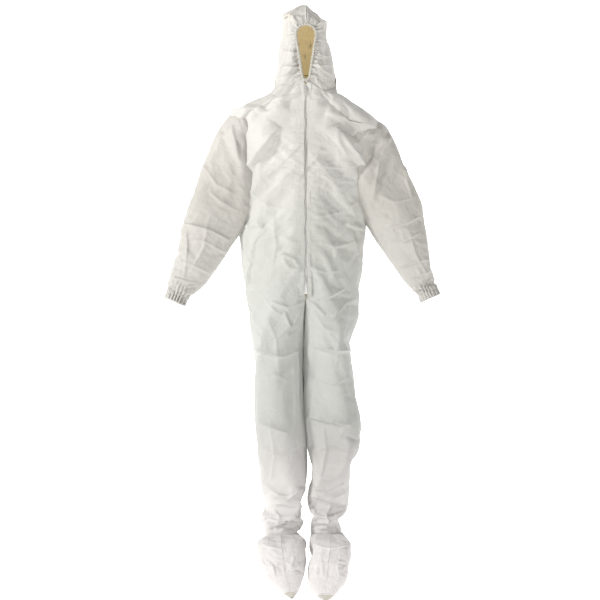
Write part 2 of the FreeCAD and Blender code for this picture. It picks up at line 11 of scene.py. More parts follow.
import bpy
import numpy as np
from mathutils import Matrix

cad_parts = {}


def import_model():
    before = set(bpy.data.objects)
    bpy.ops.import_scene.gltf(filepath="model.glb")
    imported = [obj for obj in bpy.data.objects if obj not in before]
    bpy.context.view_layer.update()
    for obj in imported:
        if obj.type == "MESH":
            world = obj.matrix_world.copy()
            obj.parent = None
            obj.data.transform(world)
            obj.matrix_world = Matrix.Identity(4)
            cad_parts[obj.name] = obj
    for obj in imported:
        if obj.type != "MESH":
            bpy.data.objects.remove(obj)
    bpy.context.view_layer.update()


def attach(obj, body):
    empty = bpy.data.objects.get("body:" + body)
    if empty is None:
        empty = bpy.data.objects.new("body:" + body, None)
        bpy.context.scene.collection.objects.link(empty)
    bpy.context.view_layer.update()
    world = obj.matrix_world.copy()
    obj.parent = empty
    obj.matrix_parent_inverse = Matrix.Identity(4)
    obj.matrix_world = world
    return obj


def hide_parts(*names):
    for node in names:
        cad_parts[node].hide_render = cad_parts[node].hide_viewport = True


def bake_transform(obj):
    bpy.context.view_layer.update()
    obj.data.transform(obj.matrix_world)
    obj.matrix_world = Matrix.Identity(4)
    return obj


logging.basicConfig(level=logging.INFO, format="%(message)s")
LOG = logging.getLogger("coverall")
Array = np.ndarray


# ------------------------------------------------------------------ small shape tools
class Side(Enum):
    """A side of the wearer; its value is the sign of X there."""

    LEFT = 1
    RIGHT = -1

    @property
    def word(self) -> str:
        """The side's name as the frame spells it."""
        return self.name.lower()


def ease(value: Array, low: float, high: float) -> Array:
    """A smooth step: 0 below low, 1 above high, 3t^2 - 2t^3 between."""
    t = np.clip((value - low) / (high - low), 0.0, 1.0)
    return t * t * (3.0 - 2.0 * t)


def follow(levels: Array, knots: list[tuple[float, ...]]) -> list[Array]:
    """Smooth curves through a few knots, read at given levels.

    Each knot is (level, value, value, ...), levels falling or rising. Between knots a value is a
    cubic Hermite curve whose slope at a knot is the harmonic mean of the slopes beside it, or none
    at a turning point, so that it never overshoots.

    Args:
        levels: where to read the curves.
        knots: the knots, in order.

    Returns:
        One array per value column.
    """
    table = np.array(sorted(knots), float)
    where, values = table[:, 0], table[:, 1:]
    gaps = np.diff(where)[:, None]
    slopes = np.diff(values, axis=0) / gaps
    inner = np.zeros_like(slopes[1:])
    same = slopes[1:] * slopes[:-1] > 0
    inner[same] = (2.0 * slopes[1:] * slopes[:-1] / (slopes[1:] + slopes[:-1] + 1e-12))[same]
    tangent = np.vstack([slopes[:1], inner, slopes[-1:]])
    at = np.clip(np.searchsorted(where, levels) - 1, 0, len(where) - 2)
    t = np.clip((levels - where[at]) / gaps[at, 0], 0.0, 1.0)[:, None]
    step = gaps[at]
    made = (
        (1 + 2 * t) * (1 - t) ** 2 * values[at]
        + t * (1 - t) ** 2 * step * tangent[at]
        + t * t * (3 - 2 * t) * values[at + 1]
        + t * t * (t - 1) * step * tangent[at + 1]
    )
    return [made[:, column] for column in range(values.shape[1])]


def squared(angle: Array, power: float) -> tuple[Array, Array]:
    """The sine and cosine of a superellipse: sign(s) |s|^(2/power), fuller than a circle's."""
    sine, cosine = np.sin(angle), np.cos(angle)
    return (
        np.sign(sine) * np.abs(sine) ** (2.0 / power),
        np.sign(cosine) * np.abs(cosine) ** (2.0 / power),
    )


def waves(points: Array, seed: int, size: float, octaves: int = 3) -> Array:
    """Smooth seeded noise over points: a sum of plane waves of random direction and phase.

    Args:
        points: an array whose last axis is x, y, z.
        seed: fixes the random draws.
        size: the longest wavelength.
        octaves: how many times the wavelength halves.

    Returns:
        The noise, roughly from -1 to 1.
    """
    draw = np.random.default_rng(seed)
    total = np.zeros(points.shape[:-1])
    for octave in range(octaves):
        heading = draw.normal(size=(9, 3))
        heading /= np.linalg.norm(heading, axis=1, keepdims=True)
        pace = 2.0 * np.pi / (size * 0.5**octave) * draw.uniform(0.7, 1.3, size=(9, 1))
        phase = draw.uniform(0.0, 2.0 * np.pi, 9)
        total += np.sin(points @ (heading * pace).T + phase).mean(axis=-1) * 0.62**octave
    return total * 1.6


def grid_faces(rows: int, columns: int, closed: bool) -> Array:
    """Quads of a grid of rows by columns; closed joins the last column to the first."""
    reach = columns if closed else columns - 1
    row, column = np.meshgrid(np.arange(rows - 1), np.arange(reach), indexing="ij")
    beside = (column + 1) % columns
    corner = [row * columns + column, row * columns + beside]
    corner += [(row + 1) * columns + beside, (row + 1) * columns + column]
    return np.stack(corner, axis=-1).reshape(-1, 4)


def normals_of(points: Array, faces: Array) -> Array:
    """Unit normals at the points: the sum of the quads' diagonal cross products round each."""
    first, second, third, fourth = (points[faces[:, k]] for k in range(4))
    cross = np.cross(third - first, fourth - second)
    total = np.zeros_like(points)
    for corner in range(faces.shape[1]):
        np.add.at(total, faces[:, corner], cross)
    return total / np.maximum(np.linalg.norm(total, axis=1, keepdims=True), 1e-12)


def mesh_object(name: str, points: Array, faces: Array) -> bpy.types.Object:
    """A smooth-shaded object at the origin from arrays of points and quads."""
    used, index = np.unique(faces, return_inverse=True)
    mesh = bpy.data.meshes.new(name)
    mesh.from_pydata(points[used].tolist(), [], index.reshape(faces.shape).tolist())
    mesh.polygons.foreach_set("use_smooth", np.ones(len(mesh.polygons), bool))
    mesh.update()
    made = bpy.data.objects.new(name, mesh)
    bpy.context.scene.collection.objects.link(made)
    return made


def arrays_of(item: bpy.types.Object) -> tuple[Array, Array]:
    """An object's points and quads with its modifiers applied."""
    shown = item.evaluated_get(bpy.context.evaluated_depsgraph_get()).data
    points = np.empty(len(shown.vertices) * 3)
    shown.vertices.foreach_get("co", points)
    corners = np.empty(len(shown.loops), int)
    shown.loops.foreach_get("vertex_index", corners)
    return points.reshape(-1, 3), corners.reshape(-1, 4)


def sweep(path: Array, across: Array, outward: Array, profile: Array,
          closed: bool = False) -> tuple[Array, Array]:
    """A closed profile carried along a path, with square ends closed.

    Args:
        path: points along the middle, n by 3.
        across: unit vectors across the ribbon at each point.
        outward: unit vectors out of the cloth at each point.
        profile: the profile's corners as (across, outward) offsets, in order.
        closed: whether the path meets its own start.

    Returns:
        Points and quads.
    """
    ring = path[:, None] + profile[None, :, :1] * across[:, None]
    ring = ring + profile[None, :, 1:] * outward[:, None]
    rows, columns = ring.shape[:2]
    points = ring.reshape(-1, 3)
    faces = grid_faces(rows, columns, True)
    if closed:
        last = (rows - 1) * columns
        turn = np.arange(columns)
        beside = (turn + 1) % columns
        faces = np.vstack([faces, np.stack([last + turn, last + beside, beside, turn], axis=-1)])
    elif columns == 4:
        caps = np.array([[3, 2, 1, 0], np.arange(4) + (rows - 1) * columns])
        faces = np.vstack([faces, caps])
    return points, faces


# ------------------------------------------------------------------ finishes
@dataclass(frozen=True)
class Nonwoven:
    """Laminated nonwoven cloth: a soft film with fine embossed fibre and sharp small creases.

    Its tone runs through a few stops by height, which paint shade and light, mottled by a broad
    noise.
    """

    name: str
    tones: tuple[tuple[float, tuple[float, float, float]], ...]
    roughness: float = 0.56
    crinkle: float = 0.42
    emboss: float = 0.12
    glow: float = 0.0

    def make(self) -> bpy.types.Material:
        """Builds the node tree: tone by height as painted shade and light, and fibre, crinkle and
        creases in the bump.
        """
        finish = bpy.data.materials.new(self.name)
        finish.use_nodes = True
        tree = finish.node_tree
        shader = tree.nodes["Principled BSDF"]
        shader.inputs["Roughness"].default_value = self.roughness
        shader.inputs["Sheen Weight"].default_value = 0.10
        shader.inputs["Sheen Roughness"].default_value = 0.5
        shader.inputs["Specular IOR Level"].default_value = 0.35
        place = tree.nodes.new("ShaderNodeTexCoord")
        tone = self.tone_by_height(tree, place)
        broad = self.noise(tree, place, 7.0, 4.0)
        mottle = tree.nodes.new("ShaderNodeMapRange")
        mottle.inputs["From Min"].default_value = 0.3
        mottle.inputs["From Max"].default_value = 0.7
        mottle.inputs["To Min"].default_value = 0.93
        mottle.inputs["To Max"].default_value = 1.03
        tree.links.new(broad.outputs["Fac"], mottle.inputs["Value"])
        shade = tree.nodes.new("ShaderNodeVectorMath")
        shade.operation = "SCALE"
        tree.links.new(tone, shade.inputs[0])
        tree.links.new(mottle.outputs["Result"], shade.inputs["Scale"])
        tree.links.new(shade.outputs["Vector"], shader.inputs["Base Color"])
        if self.glow:
            # daylight that comes through the thin cloth
            tree.links.new(shade.outputs["Vector"], shader.inputs["Emission Color"])
            shader.inputs["Emission Strength"].default_value = self.glow
        crumple = self.noise(tree, place, 42.0, 5.0)
        crease = tree.nodes.new("ShaderNodeTexVoronoi")
        crease.feature = "DISTANCE_TO_EDGE"
        crease.inputs["Scale"].default_value = 26.0
        warp = self.noise(tree, place, 11.0, 2.0)
        bent = tree.nodes.new("ShaderNodeVectorMath")
        bent.operation = "MULTIPLY_ADD"
        bent.inputs[1].default_value = (0.09, 0.09, 0.09)
        tree.links.new(warp.outputs["Color"], bent.inputs[0])
        tree.links.new(place.outputs["Object"], bent.inputs[2])
        tree.links.new(bent.outputs["Vector"], crease.inputs["Vector"])
        sharp = tree.nodes.new("ShaderNodeMapRange")
        sharp.inputs["From Max"].default_value = 0.16
        tree.links.new(crease.outputs["Distance"], sharp.inputs["Value"])
        fibre = tree.nodes.new("ShaderNodeTexVoronoi")
        fibre.inputs["Scale"].default_value = 620.0
        tree.links.new(place.outputs["Object"], fibre.inputs["Vector"])
        first = self.bump(tree, crumple.outputs["Fac"], self.crinkle, 0.004)
        second = self.bump(tree, sharp.outputs["Result"], 0.6 * self.crinkle, -0.0022)
        third = self.bump(tree, fibre.outputs["Distance"], self.emboss, 0.0006)
        tree.links.new(first.outputs["Normal"], second.inputs["Normal"])
        tree.links.new(second.outputs["Normal"], third.inputs["Normal"])
        tree.links.new(third.outputs["Normal"], shader.inputs["Normal"])
        return finish

    def tone_by_height(self, tree: bpy.types.NodeTree, place: bpy.types.Node) -> bpy.types.NodeSocket:
        """A colour ramp down the suit, from the floor to the hood's tip: painted shade and light by
        height where it has several stops.
        """
        split = tree.nodes.new("ShaderNodeSeparateXYZ")
        tree.links.new(place.outputs["Object"], split.inputs["Vector"])
        height = tree.nodes.new("ShaderNodeMapRange")
        height.inputs["From Min"].default_value = -1.75
        height.inputs["From Max"].default_value = 0.35
        tree.links.new(split.outputs["Z"], height.inputs["Value"])
        ramp = tree.nodes.new("ShaderNodeValToRGB")
        stops = ramp.color_ramp.elements
        while len(stops) < len(self.tones):
            stops.new(1.0)
        if len(self.tones) < len(stops):
            stops.remove(stops[-1])
        for stop, (level, tone) in zip(stops, sorted(self.tones)):
            stop.position = (level + 1.75) / 2.10
            stop.color = (*tone, 1.0)
        tree.links.new(height.outputs["Result"], ramp.inputs["Fac"])
        return ramp.outputs["Color"]

    @staticmethod
    def noise(tree: bpy.types.NodeTree, place: bpy.types.Node, scale: float,
              detail: float) -> bpy.types.Node:
        """A noise texture on the object's own coordinates."""
        node = tree.nodes.new("ShaderNodeTexNoise")
        node.inputs["Scale"].default_value = scale
        node.inputs["Detail"].default_value = detail
        tree.links.new(place.outputs["Object"], node.inputs["Vector"])
        return node

    @staticmethod
    def bump(tree: bpy.types.NodeTree, height: bpy.types.NodeSocket, strength: float,
             deep: float) -> bpy.types.Node:
        """A bump node that reads a height."""
        node = tree.nodes.new("ShaderNodeBump")
        node.inputs["Strength"].default_value = strength
        node.inputs["Distance"].default_value = deep
        tree.links.new(height, node.inputs["Height"])
        return node


@dataclass(frozen=True)
class Ribbed:
    """Tape, elastic or thread: fine ribs across one axis of the object's coordinates."""

    name: str
    tone: tuple[float, float, float]
    ribs: float = 900.0
    roughness: float = 0.7

    def make(self) -> bpy.types.Material:
        """Builds the node tree: a wave texture bumps the ribs and darkens their hollows as painted
        shade.
        """
        finish = bpy.data.materials.new(self.name)
        finish.use_nodes = True
        tree = finish.node_tree
        shader = tree.nodes["Principled BSDF"]
        shader.inputs["Roughness"].default_value = self.roughness
        shader.inputs["Specular IOR Level"].default_value = 0.3
        place = tree.nodes.new("ShaderNodeTexCoord")
        wave = tree.nodes.new("ShaderNodeTexWave")
        wave.bands_direction = "Z"
        wave.inputs["Scale"].default_value = self.ribs / 20.0
        wave.inputs["Distortion"].default_value = 0.6
        tree.links.new(place.outputs["Object"], wave.inputs["Vector"])
        # painted shade: the wave's low parts, the hollows between the ribs, take 0.72 of the tone
        ramp = tree.nodes.new("ShaderNodeValToRGB")
        ramp.color_ramp.elements[0].color = tuple(0.72 * part for part in self.tone) + (1.0,)
        ramp.color_ramp.elements[1].color = (*self.tone, 1.0)
        tree.links.new(wave.outputs["Fac"], ramp.inputs["Fac"])
        tree.links.new(ramp.outputs["Color"], shader.inputs["Base Color"])
        bump = Nonwoven.bump(tree, wave.outputs["Fac"], 0.4, 0.0008)
        tree.links.new(bump.outputs["Normal"], shader.inputs["Normal"])
        return finish


@dataclass(frozen=True)
class Enamel:
    """Painted cast metal or moulded nylon: even colour with faint wear and a fine grain."""

    name: str
    tone: tuple[float, float, float]
    roughness: float
    metallic: float = 0.0

    def make(self) -> bpy.types.Material:
        """Builds the node tree: noise lightens worn patches and roughens the gloss."""
        finish = bpy.data.materials.new(self.name)
        finish.use_nodes = True
        tree = finish.node_tree
        shader = tree.nodes["Principled BSDF"]
        shader.inputs["Metallic"].default_value = self.metallic
        place = tree.nodes.new("ShaderNodeTexCoord")
        wear = Nonwoven.noise(tree, place, 260.0, 3.0)
        ramp = tree.nodes.new("ShaderNodeValToRGB")
        ramp.color_ramp.elements[0].position = 0.35
        ramp.color_ramp.elements[0].color = (*self.tone, 1.0)
        ramp.color_ramp.elements[1].position = 0.8
        ramp.color_ramp.elements[1].color = tuple(min(1.0, 1.5 * part) for part in self.tone) + (1.0,)
        tree.links.new(wear.outputs["Fac"], ramp.inputs["Fac"])
        tree.links.new(ramp.outputs["Color"], shader.inputs["Base Color"])
        gloss = tree.nodes.new("ShaderNodeMapRange")
        gloss.inputs["To Min"].default_value = self.roughness * 0.8
        gloss.inputs["To Max"].default_value = self.roughness * 1.2
        tree.links.new(wear.outputs["Fac"], gloss.inputs["Value"])
        tree.links.new(gloss.outputs["Result"], shader.inputs["Roughness"])
        bump = Nonwoven.bump(tree, wear.outputs["Fac"], 0.15, 0.0003)
        tree.links.new(bump.outputs["Normal"], shader.inputs["Normal"])
        return finish


class Palette:
    """Every finish of the suit, made once."""

    def __init__(self) -> None:
        """Mixes them: a tone is a height in metres with a linear red, green and blue."""
        # painted shade and light by height on one white cloth: darkest through the thighs and knees,
        # lighter at the chest and the booties; the trunk, booties and zip lips share it
        suit = (
            (-1.60, (0.590, 0.560, 0.545)),
            (-1.42, (0.545, 0.525, 0.508)),
            (-1.22, (0.400, 0.388, 0.370)),
            (-1.08, (0.372, 0.374, 0.350)),
            (-0.80, (0.398, 0.402, 0.376)),
            (-0.48, (0.440, 0.438, 0.405)),
            (-0.20, (0.505, 0.490, 0.458)),
            (0.02, (0.530, 0.512, 0.480)),
        )
        self.suit = Nonwoven("suit_laminate", suit).make()
        self.bootie = Nonwoven("bootie_laminate", suit, crinkle=0.7).make()
        self.hood = Nonwoven("hood_laminate", ((0.0, (0.470, 0.452, 0.418)),)).make()
        # painted light and shade: the hood's inside is the same white cloth; its tan, darker low
        # down, and its glow stand for warm light coming through the thin cloth and shade within the
        # hood
        self.lining = Nonwoven(
            "hood_lining", ((0.05, (0.36, 0.29, 0.15)), (0.16, (0.46, 0.38, 0.22))),
            roughness=0.8, crinkle=0.3, glow=0.72,
        ).make()
        self.casing = Nonwoven("casing_laminate", ((0.0, (0.44, 0.42, 0.37)),)).make()
        # painted shade by height on one white cloth: darkest at mid-sleeve
        self.sleeve = Nonwoven(
            "sleeve_laminate",
            ((-0.60, (0.445, 0.428, 0.398)), (-0.35, (0.405, 0.386, 0.350)),
             (-0.12, (0.450, 0.430, 0.395))),
        ).make()
        self.sole = Nonwoven("sole_laminate", ((0.0, (0.44, 0.41, 0.36)),), roughness=0.75).make()
        self.tape = Ribbed("zip_tape_weave", (0.86, 0.85, 0.82)).make()
        self.elastic = Ribbed("elastic_knit", (0.58, 0.57, 0.54), ribs=1400.0).make()
        self.thread = Ribbed("seam_thread", (0.58, 0.57, 0.54), ribs=2600.0).make()
        self.coil = Enamel("coil_nylon", (0.88, 0.87, 0.84), 0.38).make()
        self.slider = Enamel("slider_enamel", (0.42, 0.41, 0.39), 0.35, 0.4).make()


# ------------------------------------------------------------------ cloth
@dataclass(frozen=True)
class Crease:
    """A fold pressed into the cloth along a line seen from the front or the back.

    Its height over the distance d from the line is height * exp(-d / width), a sharp ridge, with
    the width on the steep side cut to a third, and it fades to nothing at the line's ends.
    """

    line: tuple[tuple[float, float], ...]
    height: float
    width: float
    front: bool = True
    steep: int = 0

    def lift(self, points: Array) -> Array:
        """How far each point moves out along its normal."""
        best = np.full(len(points), np.inf)
        height = np.zeros(len(points))
        marks = np.array(self.line)
        runs = np.linalg.norm(np.diff(marks, axis=0), axis=1)
        passed = np.concatenate([[0.0], np.cumsum(runs)])
        flat = points[:, [0, 2]]
        for number, run in enumerate(runs):
            start, way = marks[number], (marks[number + 1] - marks[number]) / run
            along = np.clip((flat - start) @ way, 0.0, run)
            off = flat - start - along[:, None] * way
            far = np.linalg.norm(off, axis=1)
            which = np.sign(off @ np.array([-way[1], way[0]]))
            wide = np.where(which * self.steep > 0, self.width * 0.33, self.width)
            share = (passed[number] + along) / passed[-1]
            fade = np.sin(np.pi * np.clip(share, 0.0, 1.0)) ** 0.5
            here = self.height * fade * np.exp(-far / wide)
            nearer = far < best
            best = np.where(nearer, far, best)
            height = np.where(nearer, here, height)
        facing = ease(-points[:, 1] if self.front else points[:, 1], -0.01, 0.03)
        return height * facing


@dataclass
class Cloth:
    """A grid of cloth: its points, its quads, and how strongly each point is held."""

    name: str
    points: Array
    faces: Array
    hold: Array
    tags: Array = None

    def crumple(self, spare: float, frames: int, stiff: float = 0.6, push: float = 0.0) -> None:
        """Lets the cloth, cut a little too large for its shape, buckle into wrinkles.

        Args:
            spare: how much longer than its shape the cloth is, as a share.
            frames: how many frames the simulation runs.
            stiff: the bending stiffness.
            push: a steady pressure outwards.
        """
        item = mesh_object(self.name + "_rest", self.points, self.faces)
        used = np.unique(self.faces)
        group = item.vertex_groups.new(name="held")
        strength = self.hold[used]
        for level in np.unique(np.round(strength, 1)):
            members = np.nonzero(np.round(strength, 1) == level)[0]
            group.add(members.tolist(), float(level), "REPLACE")
        cloth = item.modifiers.new("cloth", "CLOTH")
        rules = cloth.settings
        rules.quality = 4
        rules.mass = 0.15
        rules.tension_stiffness = rules.compression_stiffness = 25.0
        rules.shear_stiffness = 8.0
        rules.bending_stiffness = stiff
        rules.tension_damping = rules.compression_damping = 12.0
        rules.air_damping = 3.0
        rules.vertex_group_mass = "held"
        rules.pin_stiffness = 1.0
        rules.shrink_min = -spare
        rules.effector_weights.gravity = 0.15
        if push:
            rules.use_pressure = True
            rules.uniform_pressure_force = push
        cloth.collision_settings.use_collision = False
        cloth.point_cache.frame_start = 1
        cloth.point_cache.frame_end = frames
        scene = bpy.context.scene
        for frame_number in range(1, frames + 1):
            scene.frame_set(frame_number)
        settled, _ = arrays_of(item)
        scene.frame_set(1)
        moved = settled - self.points[used]
        size = np.linalg.norm(moved, axis=1, keepdims=True)
        cap = 0.022
        self.points[used] += moved * np.minimum(1.0, cap / np.maximum(size, 1e-9))
        bpy.data.objects.remove(item, do_unlink=True)
        LOG.info("%s crumpled, mean move %.1f mm", self.name, 1000 * float(size.mean()))

    def refine(self) -> None:
        """One step of Catmull-Clark subdivision, applied."""
        item = mesh_object(self.name + "_rest", self.points, self.faces)
        finer = item.modifiers.new("finer", "SUBSURF")
        finer.levels = finer.render_levels = 1
        self.points, self.faces = arrays_of(item)
        bpy.data.objects.remove(item, do_unlink=True)
        self.hold = np.zeros(len(self.points))
        if self.tags is not None:
            self.tags = np.repeat(self.tags, 4)

    def press(self, creases: list[Crease], fine: float, seed: int, calm: Array = None) -> None:
        """Presses creases in, and roughens the cloth with ridged noise at three sizes.

        The noise is -|n|, which leaves sharp ridges between flat facets.

        Args:
            creases: the folds to press.
            fine: how deep the finer facets go.
            seed: fixes the noise.
            calm: points near which the cloth stays as it is, such as a seam's.
        """
        normals = normals_of(self.points, self.faces)
        lift = np.zeros(len(self.points))
        for crease in creases:
            lift += crease.lift(self.points)
        facets = -2.2 * np.abs(waves(self.points, seed + 4, 0.34, 1))
        facets -= 1.1 * np.abs(waves(self.points, seed, 0.13, 1))
        patches = 0.3 + 0.7 * ease(waves(self.points, seed + 2, 0.4, 1), -0.3, 0.5)
        facets -= patches * np.abs(waves(self.points, seed + 1, 0.055, 2))
        lift += fine * (facets + 1.4)
        if calm is not None:
            near = np.nonzero(np.abs(self.points[:, 2] - calm[:, 2].mean()) < 0.09)[0]
            gap = self.points[near, None] - calm[None]
            lift[near] *= ease(np.linalg.norm(gap, axis=-1).min(axis=1), 0.002, 0.025)
        self.points = self.points + normals * lift[:, None]

    def piece(self, name: str, chosen: Array, finish: bpy.types.Material, wall: float = 0.0006,
              lining: bpy.types.Material = None) -> bpy.types.Object:
        """An object of the chosen quads, with a cloth's wall on its inner side.

        Args:
            name: the piece's name.
            chosen: which quads it has.
            finish: its material.
            wall: its thickness.
            lining: the material of its inner face, if another: the hood's inside, a tan with painted
                light and shade.

        Returns:
            The object, its corner normals taken from the whole cloth so that cuts don't show.
        """
        used, index = np.unique(self.faces[chosen], return_inverse=True)
        outer = index.reshape(-1, 4)
        count = len(used)
        normals = normals_of(self.points, self.faces)[used]
        points = np.vstack([self.points[used], self.points[used] - normals * wall])
        edges = np.stack([outer, np.roll(outer, -1, axis=1)], axis=-1).reshape(-1, 2)
        keys = np.sort(edges, axis=1) @ np.array([count, 1])
        _, which, times = np.unique(keys, return_inverse=True, return_counts=True)
        border = edges[times[which] == 1]
        rim = np.stack(
            [border[:, 1], border[:, 0], border[:, 0] + count, border[:, 1] + count], axis=-1
        )
        item = mesh_object(name, points, np.vstack([outer, outer[:, ::-1] + count, rim]))
        item.data.materials.append(finish)
        item.data.materials.append(lining or finish)
        inside = np.zeros(2 * len(outer) + len(rim), int)
        middle = self.points[used][outer].mean(axis=1)
        # painted light and shade: inner faces behind and high up take the hood's tan, glowing inside
        # material, which shows through the face opening, and stays off the neck seam's front
        inside[len(outer) : 2 * len(outer)] = (middle[:, 1] > 0.03) | (middle[:, 2] > 0.10)
        item.data.polygons.foreach_set("material_index", inside)
        item.data.normals_split_custom_set_from_vertices(np.vstack([normals, -normals]).tolist())
        LOG.info("%s: %d quads", name, len(outer))
        return item

    def ribbon(self, name: str, line: Array, wide: float, lift: float, finish: bpy.types.Material,
               thick: float = 0.0012, closed: bool = False) -> bpy.types.Object:
        """A narrow tape that follows a line of the cloth's points, lifted off its face."""
        normals = normals_of(self.points, self.faces)[line]
        path = self.points[line] + normals * lift
        along = np.gradient(path, axis=0)
        if closed:
            along = np.roll(path, -1, axis=0) - np.roll(path, 1, axis=0)
        across = np.cross(along, normals)
        across /= np.maximum(np.linalg.norm(across, axis=1, keepdims=True), 1e-9)
        half = np.array([[-wide, -thick], [wide, -thick], [wide, thick], [-wide, thick]]) / 2
        item = mesh_object(name, *sweep(path, across, normals, half, closed))
        item.data.materials.append(finish)
        return item

    def middles(self) -> Array:
        """The middle of every quad."""
        return self.points[self.faces].mean(axis=1)


CREASE_EASE = 1.02  # the flat cloth over the creased cloth


def cloth_area(item: bpy.types.Object) -> float:
    """The area of one face of a piece of cloth: half of the whole skin's."""
    areas = np.empty(len(item.data.polygons))
    item.data.polygons.foreach_get("area", areas)
    return float(areas.sum()) / 2


def declare_sheet(item: bpy.types.Object) -> None:
    """Works out a flat size for a piece from its own finished mesh, and does nothing further with it.

    It isn't an independent cut size, so it can't show stretched cloth. The frame compares the mesh
    with it, so that comparison always passes here and can't show stretched cloth.

    Args:
        item: the piece.
    """
    area = cloth_area(item) * CREASE_EASE


# ------------------------------------------------------------------ trunk and legs
class Region(Enum):
    """The cloth pieces, as numbered on the quads."""

    FRONT = 0
    BACK = 1
    THIGH = 2
    SHIN = 3
    SHAFT = 4
    UPPER_ARM = 5
    FOREARM = 6
    FOOT = 7
    SOLE = 8


@dataclass
class Trunk:
    """Both halves of the trunk with their legs, as one cloth open along the zip.

    Each half is a grid. Its outer columns run from the zip round the side to the centre back, for
    every row from the neck down to the ankle, and its inner columns close each leg below the
    crotch.
    """

    palette: Palette
    rows: int = 220
    outer: int = 66
    inner: int = 26
    zip_half: float = 0.0065
    crotch: float = -0.690
    knee: float = -1.099
    shaft: float = -1.240
    top: float = 0.033
    low: float = -1.492
    cloth: Cloth = None
    lines: dict[str, Array] = field(default_factory=dict)

    # level down the front, height at the side, height at the back, half widths right and left,
    # front and back reach
    YOKE = [
        (0.033, 0.004, 0.070, 0.113, 0.105, 0.095, 0.080),
        (0.014, -0.010, 0.045, 0.158, 0.135, 0.096, 0.086),
        (-0.012, -0.030, 0.010, 0.206, 0.165, 0.098, 0.092),
        (-0.048, -0.056, -0.035, 0.250, 0.200, 0.100, 0.098),
        (-0.085, -0.092, -0.080, 0.246, 0.234, 0.101, 0.102),
        (-0.130, -0.135, -0.130, 0.230, 0.228, 0.101, 0.106),
        (-0.200, -0.205, -0.210, 0.221, 0.206, 0.101, 0.110),
        (-0.300, -0.300, -0.300, 0.217, 0.200, 0.100, 0.110),
        (-0.420, -0.420, -0.420, 0.212, 0.194, 0.099, 0.100),
        (-0.500, -0.500, -0.500, 0.206, 0.187, 0.098, 0.097),
        (-0.570, -0.570, -0.570, 0.200, 0.181, 0.097, 0.100),
        (-0.640, -0.640, -0.640, 0.189, 0.170, 0.096, 0.100),
        (-0.690, -0.690, -0.690, 0.182, 0.168, 0.094, 0.086),
        (-0.740, -0.740, -0.740, 0.178, 0.167, 0.091, 0.070),
        (-0.820, -0.820, -0.820, 0.178, 0.166, 0.086, 0.062),
        (-0.900, -0.900, -0.900, 0.177, 0.174, 0.083, 0.060),
        (-1.000, -1.000, -1.000, 0.176, 0.183, 0.079, 0.062),
        (-1.100, -1.100, -1.100, 0.173, 0.192, 0.075, 0.062),
        (-1.165, -1.165, -1.165, 0.166, 0.187, 0.070, 0.062),
        (-1.233, -1.233, -1.233, 0.158, 0.163, 0.065, 0.058),
        (-1.300, -1.300, -1.300, 0.151, 0.145, 0.060, 0.052),
        (-1.365, -1.365, -1.365, 0.142, 0.136, 0.055, 0.044),
        (-1.425, -1.425, -1.425, 0.150, 0.130, 0.062, 0.048),
        (-1.492, -1.492, -1.492, 0.134, 0.122, 0.053, 0.035),
    ]
    # where the legs part: level, inner edge of the right leg, inner edge of the left leg
    PARTING = [
        (-0.690, 0.0, 0.0),
        (-0.760, -0.010, -0.004),
        (-1.030, -0.010, -0.006),
        (-1.165, -0.003, 0.003),
        (-1.240, 0.000, 0.010),
        (-1.310, -0.004, 0.010),
        (-1.365, -0.014, 0.013),
        (-1.425, -0.010, 0.013),
        (-1.492, -0.026, 0.018),
    ]

    def levels(self) -> Array:
        """The height of every row down the front."""
        return np.linspace(self.top, self.low, self.rows)

    def half(self, side: Side) -> tuple[Array, Array]:
        """The outer grid of one half, and the inner grid of its leg.

        In the trunk a row is half a superellipse. In the leg it is a whole one about the leg's own
        middle, entered at the inner front, and a smooth step from the crotch down mixes the two.
        """
        front = self.levels()
        side_z, back_z, right, left, reach_front, reach_back = follow(front, self.YOKE)
        wide = right if side is Side.RIGHT else left
        edge_right, edge_left = follow(front, self.PARTING)
        edge = side.value * (edge_right if side is Side.RIGHT else edge_left)[:, None]
        middle = ((reach_back - reach_front) / 2)[:, None]
        deep = ((reach_back + reach_front) / 2)[:, None]
        # near the neck only the very front rises to the chin
        narrow = (2.0 + 26.0 * ease(front, -0.07, 0.02))[:, None]
        turn = np.linspace(0.0, np.pi, self.outer)[None, :]
        at_front = np.clip(np.cos(turn), 0, 1) ** narrow
        at_back = np.clip(-np.cos(turn), 0, 1) ** 2
        height = (
            front[:, None] * at_front
            + back_z[:, None] * at_back
            + side_z[:, None] * (1 - at_front - at_back)
        )
        sine, cosine = squared(turn, 2.35)
        closes = (1.0 - ease(turn, 2.6, np.pi)) * (1.0 - ease(-front, 0.664, 0.684)[:, None])
        begin = self.zip_half * closes
        trunk = np.stack(
            [begin + (wide[:, None] - begin) * sine, middle - deep * cosine, height], axis=-1
        )
        tilt = np.radians(62.0)
        leg_turn = np.linspace(-tilt, np.pi + tilt, self.outer)[None, :]
        inner_turn = np.linspace(np.pi + tilt, 2 * np.pi - tilt, self.inner)[None, :]
        centre = (wide[:, None] + edge) / 2
        half_wide = (wide[:, None] - edge) / 2

        def leg(angle: Array) -> Array:
            """Points round the leg at an angle, for every row."""
            s, c = squared(angle, 2.15)
            return np.stack(
                [centre + half_wide * s, middle - deep * c, front[:, None] + 0 * s], axis=-1
            )

        mix = ease(-front, -self.crotch - 0.06, -self.crotch + 0.15)[:, None, None]
        outer_grid = trunk * (1 - mix) + leg(leg_turn) * mix
        flat = np.linspace(1.0, -1.0, self.inner)[None, :]
        wall = np.stack(
            [edge + 0 * flat, middle + deep * flat, front[:, None] + 0 * flat], axis=-1
        )
        inner_grid = wall * (1 - mix) + leg(inner_turn) * mix
        inner_grid[:, 0] = outer_grid[:, -1]
        inner_grid[:, -1] = outer_grid[:, 0]
        outer_grid[..., 0] *= side.value
        inner_grid[..., 0] *= side.value
        return outer_grid, inner_grid

    @staticmethod
    def tag_of(region: Array | int, side: Side) -> Array | int:
        """A quad's tag: its region past a hundred, signed by its side."""
        return (region + 100) * side.value

